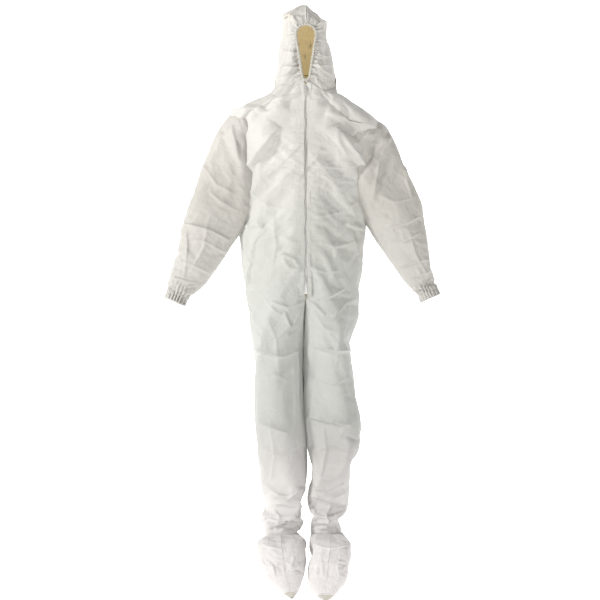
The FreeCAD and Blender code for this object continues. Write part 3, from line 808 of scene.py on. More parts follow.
    def sew(self) -> Cloth:
        """Joins both halves at the centre back and the crotch into one cloth."""
        front = self.levels()
        split = int(np.argmax(front <= self.crotch))
        bands = np.digitize(-front[:-1], [-self.crotch, 0.900, -self.shaft])
        names = np.array([0, Region.THIGH.value, Region.SHIN.value, Region.SHAFT.value])
        points, faces, tags, marks, base = [], [], [], {}, 0
        for side in Side:
            outer_grid, inner_grid = self.half(side)
            outer_grid[: split + 1, -1, 0] = 0.0
            inner_grid[split, :, 0] = 0.0
            count = self.rows * self.outer
            rows = self.rows - split
            points += [outer_grid.reshape(-1, 3), inner_grid[split:, 1:-1].reshape(-1, 3)]
            ids = np.empty((rows, self.inner), int)
            ids[:, 1:-1] = base + count + np.arange(rows * (self.inner - 2)).reshape(rows, -1)
            ids[:, 0] = base + (np.arange(rows) + split) * self.outer + self.outer - 1
            ids[:, -1] = base + (np.arange(rows) + split) * self.outer
            quads = np.stack([ids[:-1, :-1], ids[:-1, 1:], ids[1:, 1:], ids[1:, :-1]], axis=-1)
            both = np.vstack([grid_faces(self.rows, self.outer, False) + base, quads.reshape(-1, 4)])
            faces.append(both[:, ::-1] if side is Side.LEFT else both)
            columns = np.arange(self.outer - 1)[None, :]
            trunk_tag = np.where(columns < self.outer // 2, Region.FRONT.value, Region.BACK.value)
            outer_tag = np.where(bands[:, None] == 0, trunk_tag, names[bands][:, None])
            inner_tag = np.repeat(names[bands[split:]][:, None], self.inner - 1, axis=1)
            tag = np.concatenate([outer_tag.reshape(-1), inner_tag.reshape(-1)])
            tags.append(self.tag_of(tag, side))
            marks[side] = (base, ids)
            base += count + rows * (self.inner - 2)
        points, faces = np.vstack(points), np.vstack(faces)
        swap = np.arange(len(points))
        back = np.arange(split + 1) * self.outer + self.outer - 1
        swap[marks[Side.RIGHT][0] + back] = marks[Side.LEFT][0] + back
        swap[marks[Side.RIGHT][1][0, 1:-1]] = marks[Side.LEFT][1][0, 1:-1]
        faces = swap[faces]
        hold = np.zeros(len(points))
        for side in Side:
            start, ids = marks[side]
            zip_line = start + np.arange(split + 2) * self.outer
            hold[zip_line] = 1.0
            hold[zip_line + 1] = 0.8
            hold[start + np.arange(self.outer)] = 1.0
            last = start + (self.rows - 1) * self.outer + np.arange(self.outer)
            hold[last - self.outer] = 0.6
            hold[last] = 1.0
            hold[ids[-1]] = 1.0
            rows = np.arange(self.rows) * self.outer + start
            knee = int(np.argmax(front <= self.knee))
            self.lines[f"{side.word}_side"] = swap[rows[60:split] + self.outer // 2]
            self.lines[f"{side.word}_thigh"] = ids[3 : knee - split, self.inner // 2]
            self.lines[f"{side.word}_shin"] = ids[knee - split : -20, self.inner // 2]
        start = marks[Side.LEFT][0]
        self.lines["back"] = start + np.arange(2, split) * self.outer + self.outer - 1
        waist = int(np.argmax(front <= -0.480)) * self.outer
        half = np.arange(self.outer * 2 // 3, self.outer)
        self.lines["waist"] = np.concatenate(
            [marks[Side.RIGHT][0] + waist + half, (start + waist + half)[-2::-1]]
        )
        self.lines["neck"] = np.concatenate(
            [
                marks[Side.RIGHT][0] + np.arange(self.outer - 1),
                (start + np.arange(self.outer))[::-1],
            ]
        )
        used, index = np.unique(faces, return_inverse=True)
        new = np.zeros(len(points), int)
        new[used] = np.arange(len(used))
        self.lines = {key: new[swap[line]] for key, line in self.lines.items()}
        self.cloth = Cloth(
            "trunk", points[used], index.reshape(faces.shape), hold[used], np.concatenate(tags)
        )
        return self.cloth

    def dress(self) -> None:
        """Cuts the cloth into its pieces, gives each its finish, and ties the trunk's own pieces and
        tapes to the torso.
        """
        cloth, finish = self.cloth, self.palette
        middles = cloth.middles()
        armhole = ((middles[:, 1] - 0.002) / 0.055) ** 2 + ((middles[:, 2] + 0.168) / 0.082) ** 2
        kept = ~((armhole < 1.0) & (np.abs(middles[:, 0]) > 0.15))
        for side in Side:
            own = side.word
            for region, word in ((Region.FRONT, "front"), (Region.BACK, "back")):
                # the back panels' inner face takes the hood's tan inside tone: painted light and
                # shade
                item = cloth.piece(
                    f"{word}_{own}_cloth", kept & (cloth.tags == self.tag_of(region.value, side)),
                    finish.suit, lining=finish.lining if region is Region.BACK else None,
                )
                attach(item, "torso")
                finish_piece(item, "torso", "suit_cloth", f"{word}_{own}_panel")
            x = side.value * 0.09
            hip = ("torso", f"{own}_thigh", (x, 0.0, -0.690), (x, 0.0, -0.860))
            knee = (f"{own}_thigh", f"{own}_shin", (x, 0.0, -1.040), (x, 0.0, -1.160))
            ankle = (f"{own}_shin", f"{own}_bootie", (x, 0.0, -1.330), (x, 0.0, -1.420))
            for region, word, bend, nodes in (
                (Region.THIGH, "thigh", hip, [f"{own}_thigh"]),
                (Region.SHIN, "knee", knee, [f"{own}_shin"]),
                (Region.SHAFT, "shin", ankle, []),
            ):
                item = cloth.piece(
                    f"{own}_{word}_cloth", cloth.tags == self.tag_of(region.value, side),
                    finish.suit,
                )
                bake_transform(item)
                finish_piece(item, bend[1], "suit_cloth", *nodes)
            tape = cloth.ribbon(
                f"{own}_side_seam_tape", self.lines[f"{own}_side"], 0.008, -0.003, finish.thread
            )
            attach(tape, "torso")
            finish_tape(f"{own}_side_seam")
            for part, bend in (("thigh", hip), ("shin", knee)):
                tape = cloth.ribbon(
                    f"{own}_{part}_inseam_tape", self.lines[f"{own}_{part}"], 0.008, -0.003,
                    finish.thread,
                )
                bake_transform(tape)
                finish_tape(f"{own}_{part}_inseam")
        for name, line, wide, lift, node, slot in (
            ("centre_back_seam_ridge", "back", 0.006, 0.0006, "centre_back_seam", "seam_tape"),
            ("waist_elastic_band", "waist", 0.018, -0.004, "waist_elastic", "elastic"),
            ("neck_seam_ridge", "neck", 0.005, 0.0005, None, "seam_tape"),
        ):
            tape = cloth.ribbon(
                name, self.lines[line], wide, lift,
                finish.elastic if slot == "elastic" else finish.thread,
            )
            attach(tape, "torso")
            finish_tape(node)
        gusset_at = np.array([0.0, 0.0, self.crotch])
        across = np.linspace(-1, 1, 9)
        grid_x, grid_y = np.meshgrid(across * 0.024, across * 0.055, indexing="ij")
        sag = 0.006 * (grid_x / 0.024) ** 2
        points = np.stack([grid_x, grid_y + gusset_at[1], gusset_at[2] + 0.010 - sag], axis=-1)
        patch = Cloth("gusset", points.reshape(-1, 3), grid_faces(9, 9, False), np.zeros(81))
        gusset = patch.piece("crotch_gusset_cloth", np.ones(64, bool), finish.suit, wall=0.0008)
        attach(gusset, "torso")
        finish_piece(gusset, "torso", "suit_cloth", "crotch_gusset")


def finish_piece(item: bpy.types.Object, body: str, slot: str, *nodes: str) -> None:
    """Works out a cloth piece's flat size, which isn't kept, and hides the frame nodes that it stands
    for.
    """
    declare_sheet(item)
    if nodes:
        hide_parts(*nodes)


def finish_tape(node: str | None) -> None:
    """Hides the frame node that a seam tape or elastic stands for, if any."""
    if node:
        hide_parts(node)


# ------------------------------------------------------------------ sleeves
@dataclass
class Sleeve:
    """One sleeve: a tube of cloth through leaning rings, gathered at the cuff."""

    side: Side
    palette: Palette
    rows: int = 132
    columns: int = 76
    depth_middle: float = 0.002
    biceps: float = 0.42
    cuff_lean: float = 23.3
    cloth: Cloth = None

    # share of the length, distance out, height, half width, lean in degrees, half depth
    KNOTS = {
        Side.RIGHT: [
            (0.00, 0.150, -0.165, 0.105, 80.0, 0.066),
            (0.07, 0.192, -0.156, 0.110, 66.0, 0.066),
            (0.15, 0.236, -0.206, 0.102, 50.0, 0.063),
            (0.25, 0.258, -0.278, 0.104, 32.0, 0.060),
            (0.42, 0.305, -0.395, 0.100, 23.0, 0.054),
            (0.55, 0.340, -0.461, 0.088, 22.0, 0.048),
            (0.72, 0.379, -0.560, 0.071, 23.0, 0.041),
            (0.89, 0.426, -0.653, 0.047, 23.5, 0.032),
            (0.95, 0.436, -0.682, 0.037, 23.5, 0.027),
            (1.00, 0.441, -0.700, 0.033, 23.5, 0.024),
        ],
        Side.LEFT: [
            (0.00, 0.150, -0.175, 0.100, 78.0, 0.066),
            (0.07, 0.185, -0.178, 0.104, 62.0, 0.066),
            (0.15, 0.228, -0.216, 0.098, 48.0, 0.063),
            (0.25, 0.251, -0.293, 0.104, 30.0, 0.060),
            (0.42, 0.302, -0.394, 0.098, 21.0, 0.054),
            (0.55, 0.326, -0.458, 0.083, 21.0, 0.048),
            (0.72, 0.367, -0.552, 0.062, 23.0, 0.041),
            (0.89, 0.401, -0.640, 0.041, 23.0, 0.031),
            (0.95, 0.414, -0.668, 0.033, 23.0, 0.026),
            (1.00, 0.421, -0.686, 0.030, 23.0, 0.024),
        ],
    }

    def build(self) -> Cloth:
        """Lays the rings out and joins them into a tube."""
        share = np.linspace(0.0, 1.0, self.rows)
        out, high, wide, lean, deep = (each[:, None] for each in follow(share, self.KNOTS[self.side]))
        lean = np.radians(lean)
        turn = np.linspace(0.0, 2 * np.pi, self.columns, endpoint=False)[None, :]
        sine, cosine = squared(turn, 2.2)
        grid = np.stack(
            [
                (out + wide * np.cos(lean) * sine) * self.side.value,
                self.depth_middle - deep * cosine,
                high + wide * np.sin(lean) * sine,
            ],
            axis=-1,
        )
        faces = grid_faces(self.rows, self.columns, True)
        if self.side is Side.LEFT:
            faces = faces[:, ::-1]
        hold = np.zeros((self.rows, self.columns))
        hold[:3] = 1.0
        hold[-1] = 1.0
        hold[-8:-1] = 0.5
        which = np.where(share[:-1] < self.biceps, Region.UPPER_ARM.value, Region.FOREARM.value)
        tags = np.repeat(which, self.columns)
        self.cloth = Cloth(
            f"{self.side.word}_sleeve", grid.reshape(-1, 3), faces, hold.reshape(-1), tags
        )
        return self.cloth

    def gather(self) -> None:
        """Draws the cuff in: lengthwise folds that deepen towards its elastic."""
        cloth = self.cloth
        knots = np.array(self.KNOTS[self.side])
        low = np.array([knots[-1, 1] * self.side.value, self.depth_middle, knots[-1, 2]])
        lean = np.radians(self.cuff_lean)
        way = np.array([np.sin(lean) * self.side.value, 0.0, -np.cos(lean)])
        rel = cloth.points - low
        up = -(rel @ way)
        cross = rel + up[:, None] * way
        side_way = np.cross(way, [0.0, 1.0, 0.0])
        angle = np.arctan2(cross @ side_way, cross[:, 1])
        amount = (1.0 - ease(up, 0.008, 0.075)) * 0.0042
        wave = np.sin(15 * angle + 1.3 * np.sin(2 * angle)) + 0.4 * np.sin(31 * angle + up * 60)
        cinch = 0.0035 * np.exp(-(((up - 0.017) / 0.006) ** 2))
        shift = amount * wave - cinch
        cloth.points = cloth.points + normals_of(cloth.points, cloth.faces) * shift[:, None]

    def dress(self) -> None:
        """Cuts the sleeve at the biceps and adds its cuff."""
        word, sign = self.side.word, self.side.value
        for region, part, bodies, start, end in (
            (Region.UPPER_ARM, "upper", ("torso", f"{word}_upper_sleeve"),
             (0.19, 0.0, -0.20), (0.27, 0.0, -0.33)),
            (Region.FOREARM, "lower", (f"{word}_upper_sleeve", f"{word}_lower_sleeve"),
             (0.300, 0.0, -0.42), (0.335, 0.0, -0.50)),
        ):
            item = self.cloth.piece(
                f"{word}_{part}_sleeve_cloth", self.cloth.tags == region.value,
                self.palette.sleeve,
            )
            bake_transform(item)
            finish_piece(item, bodies[1], "suit_cloth", f"{word}_{part}_sleeve")
        count = self.columns
        # four rows above the cuff's end runs the elastic, and the hem binds the end itself
        for name, row, wide, lift, node, slot in (
            (f"{word}_cuff_elastic_band", self.rows - 5, 0.011, -0.0035, f"{word}_cuff_elastic",
             "elastic"),
            (f"{word}_cuff_hem_fold", self.rows - 1, 0.009, 0.0004, f"{word}_cuff_hem",
             "suit_cloth"),
        ):
            line = row * count + np.arange(count)
            band = self.cloth.ribbon(
                name, line, wide, lift,
                self.palette.elastic if slot == "elastic" else self.palette.sleeve,
                thick=0.0016, closed=True,
            )
            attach(band, f"{word}_lower_sleeve")
            finish_tape(node)


# ------------------------------------------------------------------ booties
@dataclass
class Bootie:
    """One hanging bootie: a tube through pitched rings, flattened on its sole's plane."""

    side: Side
    palette: Palette
    rows: int = 96
    columns: int = 80
    pitch: float = np.radians(42.0)
    sole_off: float = 0.038
    toe_from: float = 0.955
    cloth: Cloth = None

    # share, distance out, front-back, height, half width, half depth, pitch in degrees
    KNOTS = {
        Side.RIGHT: [
            (0.00, 0.0790, -0.009, -1.486, 0.054, 0.046, 0.0),
            (0.10, 0.0800, -0.014, -1.498, 0.064, 0.053, 8.0),
            (0.24, 0.0830, -0.040, -1.522, 0.082, 0.060, 26.0),
            (0.42, 0.0835, -0.070, -1.550, 0.083, 0.061, 42.0),
            (0.62, 0.0765, -0.104, -1.590, 0.070, 0.046, 42.0),
            (0.82, 0.0710, -0.128, -1.632, 0.056, 0.032, 42.0),
            (0.92, 0.0570, -0.140, -1.662, 0.032, 0.018, 42.0),
            (1.00, 0.0470, -0.148, -1.686, 0.005, 0.004, 42.0),
        ],
        Side.LEFT: [
            (0.00, 0.0720, -0.009, -1.486, 0.053, 0.046, 0.0),
            (0.10, 0.0740, -0.014, -1.500, 0.058, 0.052, 8.0),
            (0.24, 0.0800, -0.040, -1.526, 0.068, 0.060, 26.0),
            (0.42, 0.0810, -0.070, -1.556, 0.070, 0.061, 42.0),
            (0.62, 0.0735, -0.104, -1.596, 0.067, 0.046, 42.0),
            (0.82, 0.0690, -0.128, -1.638, 0.061, 0.032, 42.0),
            (0.92, 0.0640, -0.140, -1.668, 0.041, 0.018, 42.0),
            (1.00, 0.0660, -0.150, -1.698, 0.005, 0.004, 42.0),
        ],
    }

    def plane(self, points: Array) -> Array:
        """How far points are behind the foot's middle line, across the sole's plane."""
        back = np.array([0.0, np.cos(self.pitch), -np.sin(self.pitch)])
        return (points - np.array([0.0, -0.009, -1.487])) @ back

    def build(self) -> Cloth:
        """Lays the rings out, flattens them on the sole's plane and closes the toe."""
        share = np.linspace(0.0, 1.0, self.rows)
        out, forth, high, wide, deep, pitch = (
            each[:, None] for each in follow(share, self.KNOTS[self.side])
        )
        pitch = np.radians(pitch)
        turn = np.linspace(0.0, 2 * np.pi, self.columns, endpoint=False)[None, :]
        sine, cosine = squared(turn, 2.7)
        grid = np.stack(
            [
                (out + wide * sine) * self.side.value,
                forth - deep * cosine * np.cos(pitch),
                high + deep * cosine * np.sin(pitch),
            ],
            axis=-1,
        )
        over = np.maximum(self.plane(grid) - self.sole_off, 0.0)[..., None]
        grid = grid - over * np.array([0.0, np.cos(self.pitch), -np.sin(self.pitch)])
        points = grid.reshape(-1, 3)
        faces = grid_faces(self.rows, self.columns, True)
        # the tip is closed by quads across the last ring
        last = (self.rows - 1) * self.columns
        half = self.columns // 2
        near = np.arange(half - 1)
        cap = np.stack(
            [last + near, last + near + 1, last + self.columns - 2 - near,
             last + (self.columns - 1 - near) % self.columns], axis=-1,
        )
        faces = np.vstack([faces, cap])
        if self.side is Side.LEFT:
            faces = faces[:, ::-1]
        hold = np.zeros((self.rows, self.columns))
        hold[:2] = 1.0
        hold[share > 0.8] = 0.7
        hold[over[..., 0] > 0.0] = 0.8
        on_sole = (over[..., 0] > 0.0)[:-1, :] & (over[..., 0] > 0.0)[1:, :]
        toe = (share[:-1] > self.toe_from)[:, None] | on_sole
        tag = np.where(toe, Region.SOLE.value, Region.FOOT.value).reshape(-1)
        tags = np.concatenate([tag, np.full(len(cap), Region.SOLE.value)])
        self.cloth = Cloth(f"{self.side.word}_bootie", points, faces, hold.reshape(-1), tags)
        return self.cloth

    def dress(self) -> None:
        """Splits the upper from the sole and adds the instep seam and the ankle elastic."""
        word, finish = self.side.word, self.palette
        body = f"{word}_bootie"
        upper = self.cloth.piece(
            f"{word}_bootie_cloth", self.cloth.tags == Region.FOOT.value, finish.bootie
        )
        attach(upper, body)
        finish_piece(upper, body, "bootie_cloth", f"{word}_bootie_upper")
        sole = self.cloth.piece(
            f"{word}_sole_cloth", self.cloth.tags == Region.SOLE.value, finish.sole, wall=0.0014
        )
        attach(sole, body)
        finish_piece(sole, body, "sole_cloth", f"{word}_bootie_sole")
        rows = np.arange(int(self.rows * 0.10), int(self.rows * self.toe_from))
        seam = self.cloth.ribbon(
            f"{word}_instep_seam", rows * self.columns, 0.0035, 0.0002, finish.bootie,
            thick=0.0007,
        )
        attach(seam, body)
        finish_tape(None)
        hem_row = int(self.rows * self.toe_from)
        line = hem_row * self.columns + (np.arange(self.columns // 2 + 1) - self.columns // 4)
        line = np.where(line < hem_row * self.columns, line + self.columns, line)
        hem = self.cloth.ribbon(f"{word}_toe_hem", line, 0.004, 0.0004, finish.bootie, thick=0.0008)
        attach(hem, body)
        finish_tape(None)
        ring = self.cloth.ribbon(
            f"{word}_ankle_elastic_band", self.columns + np.arange(self.columns), 0.010,
            -0.0030, finish.elastic, closed=True,
        )
        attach(ring, body)
        finish_tape(f"{word}_ankle_elastic")


# ------------------------------------------------------------------ hood
@dataclass
class Hood:
    """The hood: cloth from the gathered face opening over the head to the neck seam.

    Every row starts at the opening's edge and ends at the neck. Between them it runs along a
    Bezier curve of directions seen from inside the head, and each direction is pushed out to the
    head's skin: a superellipse at every height.
    """

    palette: Palette
    neck: Array
    rows: int = 84
    columns: int = 240
    centre: tuple[float, float, float] = (0.0, 0.0, 0.130)
    power: float = 2.3
    cloth: Cloth = None

    # height, half width right, half width left, front reach, back reach
    SKIN = [
        (-0.02, 0.128, 0.112, 0.095, 0.080),
        (0.007, 0.120, 0.106, 0.095, 0.080),
        (0.030, 0.108, 0.102, 0.096, 0.084),
        (0.067, 0.102, 0.099, 0.097, 0.093),
        (0.107, 0.097, 0.094, 0.098, 0.102),
        (0.147, 0.093, 0.090, 0.098, 0.110),
        (0.207, 0.088, 0.082, 0.094, 0.106),
        (0.248, 0.083, 0.078, 0.078, 0.090),
        (0.268, 0.082, 0.057, 0.066, 0.076),
        (0.288, 0.056, 0.034, 0.050, 0.052),
        (0.301, 0.022, 0.016, 0.036, 0.026),
        (0.308, 0.003, 0.003, 0.010, 0.008),
    ]
    # the face opening: an uneven capsule of two circles
    BROW = (0.193, 0.034)
    CHIN = (0.053, 0.0125)
    # the hood turns against the trunk over this rise
    NAPE = ((0.0, 0.0, 0.012), (0.0, 0.0, 0.085))

    def outside(self, points: Array) -> Array:
        """Above 1 outside the head's skin, below 1 inside: |x/a|^p + |(y - m)/b|^p."""
        right, left, front, back = follow(points[..., 2].reshape(-1), self.SKIN)
        shape = points.shape[:-1]
        wide = np.where(points[..., 0] < 0, right.reshape(shape), left.reshape(shape))
        middle = ((back - front) / 2).reshape(shape)
        deep = ((back + front) / 2).reshape(shape)
        flat = np.abs(points[..., 0] / wide) ** self.power
        flat += np.abs((points[..., 1] - middle) / deep) ** self.power
        top = self.SKIN[-1][0]
        return np.where(points[..., 2] > top, 9.0, flat)

    def skin(self, ways: Array) -> Array:
        """The distance from the centre to the skin along unit directions, by halving."""
        low = np.zeros(ways.shape[:-1])
        high = np.full(ways.shape[:-1], 0.40)
        for _ in range(26):
            half = (low + high) / 2
            out = self.outside(np.array(self.centre) + ways * half[..., None]) > 1.0
            high = np.where(out, half, high)
            low = np.where(out, low, half)
        return (low + high) / 2

    def rim(self) -> Array:
        """The opening's edge from the chin round by the wearer's left, evenly spaced."""
        (top_z, top_r), (low_z, low_r) = self.BROW, self.CHIN
        lean = np.arcsin((top_r - low_r) / (top_z - low_z))
        low_turn = np.linspace(-np.pi / 2, -lean, 60)
        top_turn = np.linspace(-lean, np.pi / 2, 120)
        line = np.vstack(
            [
                np.stack([low_r * np.cos(low_turn), low_z + low_r * np.sin(low_turn)], axis=1),
                np.stack([top_r * np.cos(top_turn), top_z + top_r * np.sin(top_turn)], axis=1),
            ]
        )
        passed = np.concatenate([[0], np.cumsum(np.linalg.norm(np.diff(line, axis=0), axis=1))])
        half = self.columns // 2
        read = np.linspace(0, passed[-1], half + 1)
        left = np.stack([np.interp(read, passed, line[:, k]) for k in (0, 1)], axis=1)
        flat = np.vstack([left, (left * [-1, 1])[-2:0:-1]])
        points = np.stack([flat[:, 0], np.full(len(flat), -0.09), flat[:, 1]], axis=1)
        for _ in range(24):
            off = self.outside(points) - 1.0
            points[:, 1] += 0.02 * off
        return points

    def neck_ring(self) -> Array:
        """The trunk's neck line, evenly spaced from the front round by the left."""
        order = self.neck[::-1]
        passed = np.concatenate([[0], np.cumsum(np.linalg.norm(np.diff(order, axis=0), axis=1))])
        read = np.linspace(0, passed[-1], self.columns + 1)[:-1]
        return np.stack([np.interp(read, passed, order[:, k]) for k in range(3)], axis=1)

    def build(self) -> Cloth:
        """Runs the rows from the opening to the neck and evens their spacing."""
        centre = np.array(self.centre)
        rim, ring = self.rim(), self.neck_ring()
        u = (2 * np.pi * np.arange(self.columns) / self.columns)[:, None]
        open_up = (1 - np.cos(u)) / 2
        reach = 0.13 * open_up**0.6 * 10.0
        first, last = rim - centre, ring - centre
        second = first + reach * np.hstack([np.sin(u), 0.35 * open_up, -np.cos(u)])
        third = last + reach * np.hstack([0.5 * np.sin(u), open_up, 0.6 * open_up])
        t = np.linspace(0, 1, self.rows * 3)[:, None, None]
        way = (1 - t) ** 3 * first + 3 * t * (1 - t) ** 2 * second
        way = way + 3 * t**2 * (1 - t) * third + t**3 * last
        size = np.linalg.norm(way, axis=-1, keepdims=True)
        way = way / size
        far = self.skin(way)[..., None]
        start = np.linalg.norm(first, axis=-1)[None, :, None] / far[:1]
        end = np.linalg.norm(last, axis=-1)[None, :, None] / far[-1:]
        far = far * (1 + (start - 1) * (1 - t) ** 6 + (end - 1) * t**6)
        fine = centre + way * far
        steps = np.linalg.norm(np.diff(fine, axis=0), axis=-1)
        passed = np.vstack([np.zeros((1, self.columns)), np.cumsum(steps, axis=0)])
        grid = np.empty((self.rows, self.columns, 3))
        for column in range(self.columns):
            read = np.linspace(0, passed[-1, column], self.rows)
            for axis in range(3):
                grid[:, column, axis] = np.interp(read, passed[:, column], fine[:, column, axis])
        hold = np.zeros((self.rows, self.columns))
        hold[[0, -1]] = 1.0
        hold[1:3] = 0.7
        chin = np.abs(((u[:, 0] + np.pi) % (2 * np.pi)) - np.pi) < 0.5
        hold[:, chin] = 1.0
        columns = np.arange(self.columns)
        side = np.where(columns < self.columns // 2, 1, -1)
        tags = np.tile(side, self.rows - 1)
        faces = grid_faces(self.rows, self.columns, True)[:, ::-1]
        self.cloth = Cloth("hood", grid.reshape(-1, 3), faces, hold.reshape(-1), tags)
        return self.cloth

    def gather(self) -> None:
        """Puckers the cloth round the opening, in folds that fade over some 40 mm."""
        cloth = self.cloth
        rim = self.rim()
        gap = cloth.points[:, None, ::2] - rim[None, ::4, ::2]
        distance = np.linalg.norm(gap, axis=-1)
        nearest = np.argmin(distance, axis=1)
        near = np.min(distance, axis=1)
        share = nearest / (len(rim) / 4)
        flat = cloth.points[:, [0, 2]] - np.array([0.0, 0.15])
        angle = np.arctan2(flat[:, 0], flat[:, 1])
        front = cloth.points[:, 1] < -0.02
        fade = (1.0 - ease(near, 0.004, 0.042)) * front
        wave = np.sin(2 * np.pi * 38 * share + 2.0 * np.sin(5 * angle))
        wave += 0.5 * np.sin(2 * np.pi * 61 * share)
        normals = normals_of(cloth.points, cloth.faces)
        cloth.points = cloth.points + normals * (0.0026 * wave * fade)[:, None]

    def dress(self) -> None:
        """Cuts the hood at its centre seam and adds the seam and the face elastic."""
        finish = self.palette
        for side in Side:
            # the inner face takes the hood's tan inside tone: painted light and shade
            item = self.cloth.piece(
                f"hood_{side.word}_cloth", self.cloth.tags == side.value, finish.hood,
                lining=finish.lining,
            )
            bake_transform(item)
            finish_piece(item, "hood", "hood_cloth", f"hood_{side.word}_panel")
        line = np.arange(3, self.rows) * self.columns + self.columns // 2
        seam = self.cloth.ribbon("hood_centre_seam_ridge", line, 0.005, 0.0008, finish.thread)
        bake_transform(seam)
        finish_tape("hood_centre_seam")
        self.casing()

    def casing(self) -> None:
        """The elastic's casing: a scrunched roll of cloth round the opening."""
        rim = self.rim()
        count = 720
        read = np.linspace(0, len(rim), count, endpoint=False)
        closed = np.vstack([rim, rim[:1]])
        path = np.stack(
            [np.interp(read, np.arange(len(closed)), closed[:, k]) for k in range(3)], axis=1
        )
        along = np.roll(path, -1, axis=0) - np.roll(path, 1, axis=0)
        along /= np.linalg.norm(along, axis=1, keepdims=True)
        outward = np.tile([0.0, -1.0, 0.0], (count, 1))
        across = np.cross(along, outward)
        across /= np.linalg.norm(across, axis=1, keepdims=True)
        turn = np.linspace(0, 2 * np.pi, 14, endpoint=False)
        around = np.arange(count)[:, None] / count * 2 * np.pi
        radius = 0.0046 * (
            1.0 + 0.24 * np.sin(52 * around + 1.5 * np.sin(3 * around) + 0.5 * np.sin(turn))
            + 0.10 * np.sin(97 * around + 2 * turn)
        )
        points = (
            path[:, None]
            + radius[..., None] * np.cos(turn)[None, :, None] * across[:, None]
            + radius[..., None] * np.sin(turn)[None, :, None] * outward[:, None]
        )
        faces = grid_faces(count, 14, True)
        last = (count - 1) * 14
        ring = np.arange(14)
        beside = (ring + 1) % 14
        faces = np.vstack([faces, np.stack([last + ring, last + beside, beside, ring], axis=-1)])
        roll = mesh_object("face_elastic_casing", points.reshape(-1, 3), faces[:, ::-1])
        roll.data.materials.append(self.palette.casing)
        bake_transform(roll)
        finish_tape("face_elastic")


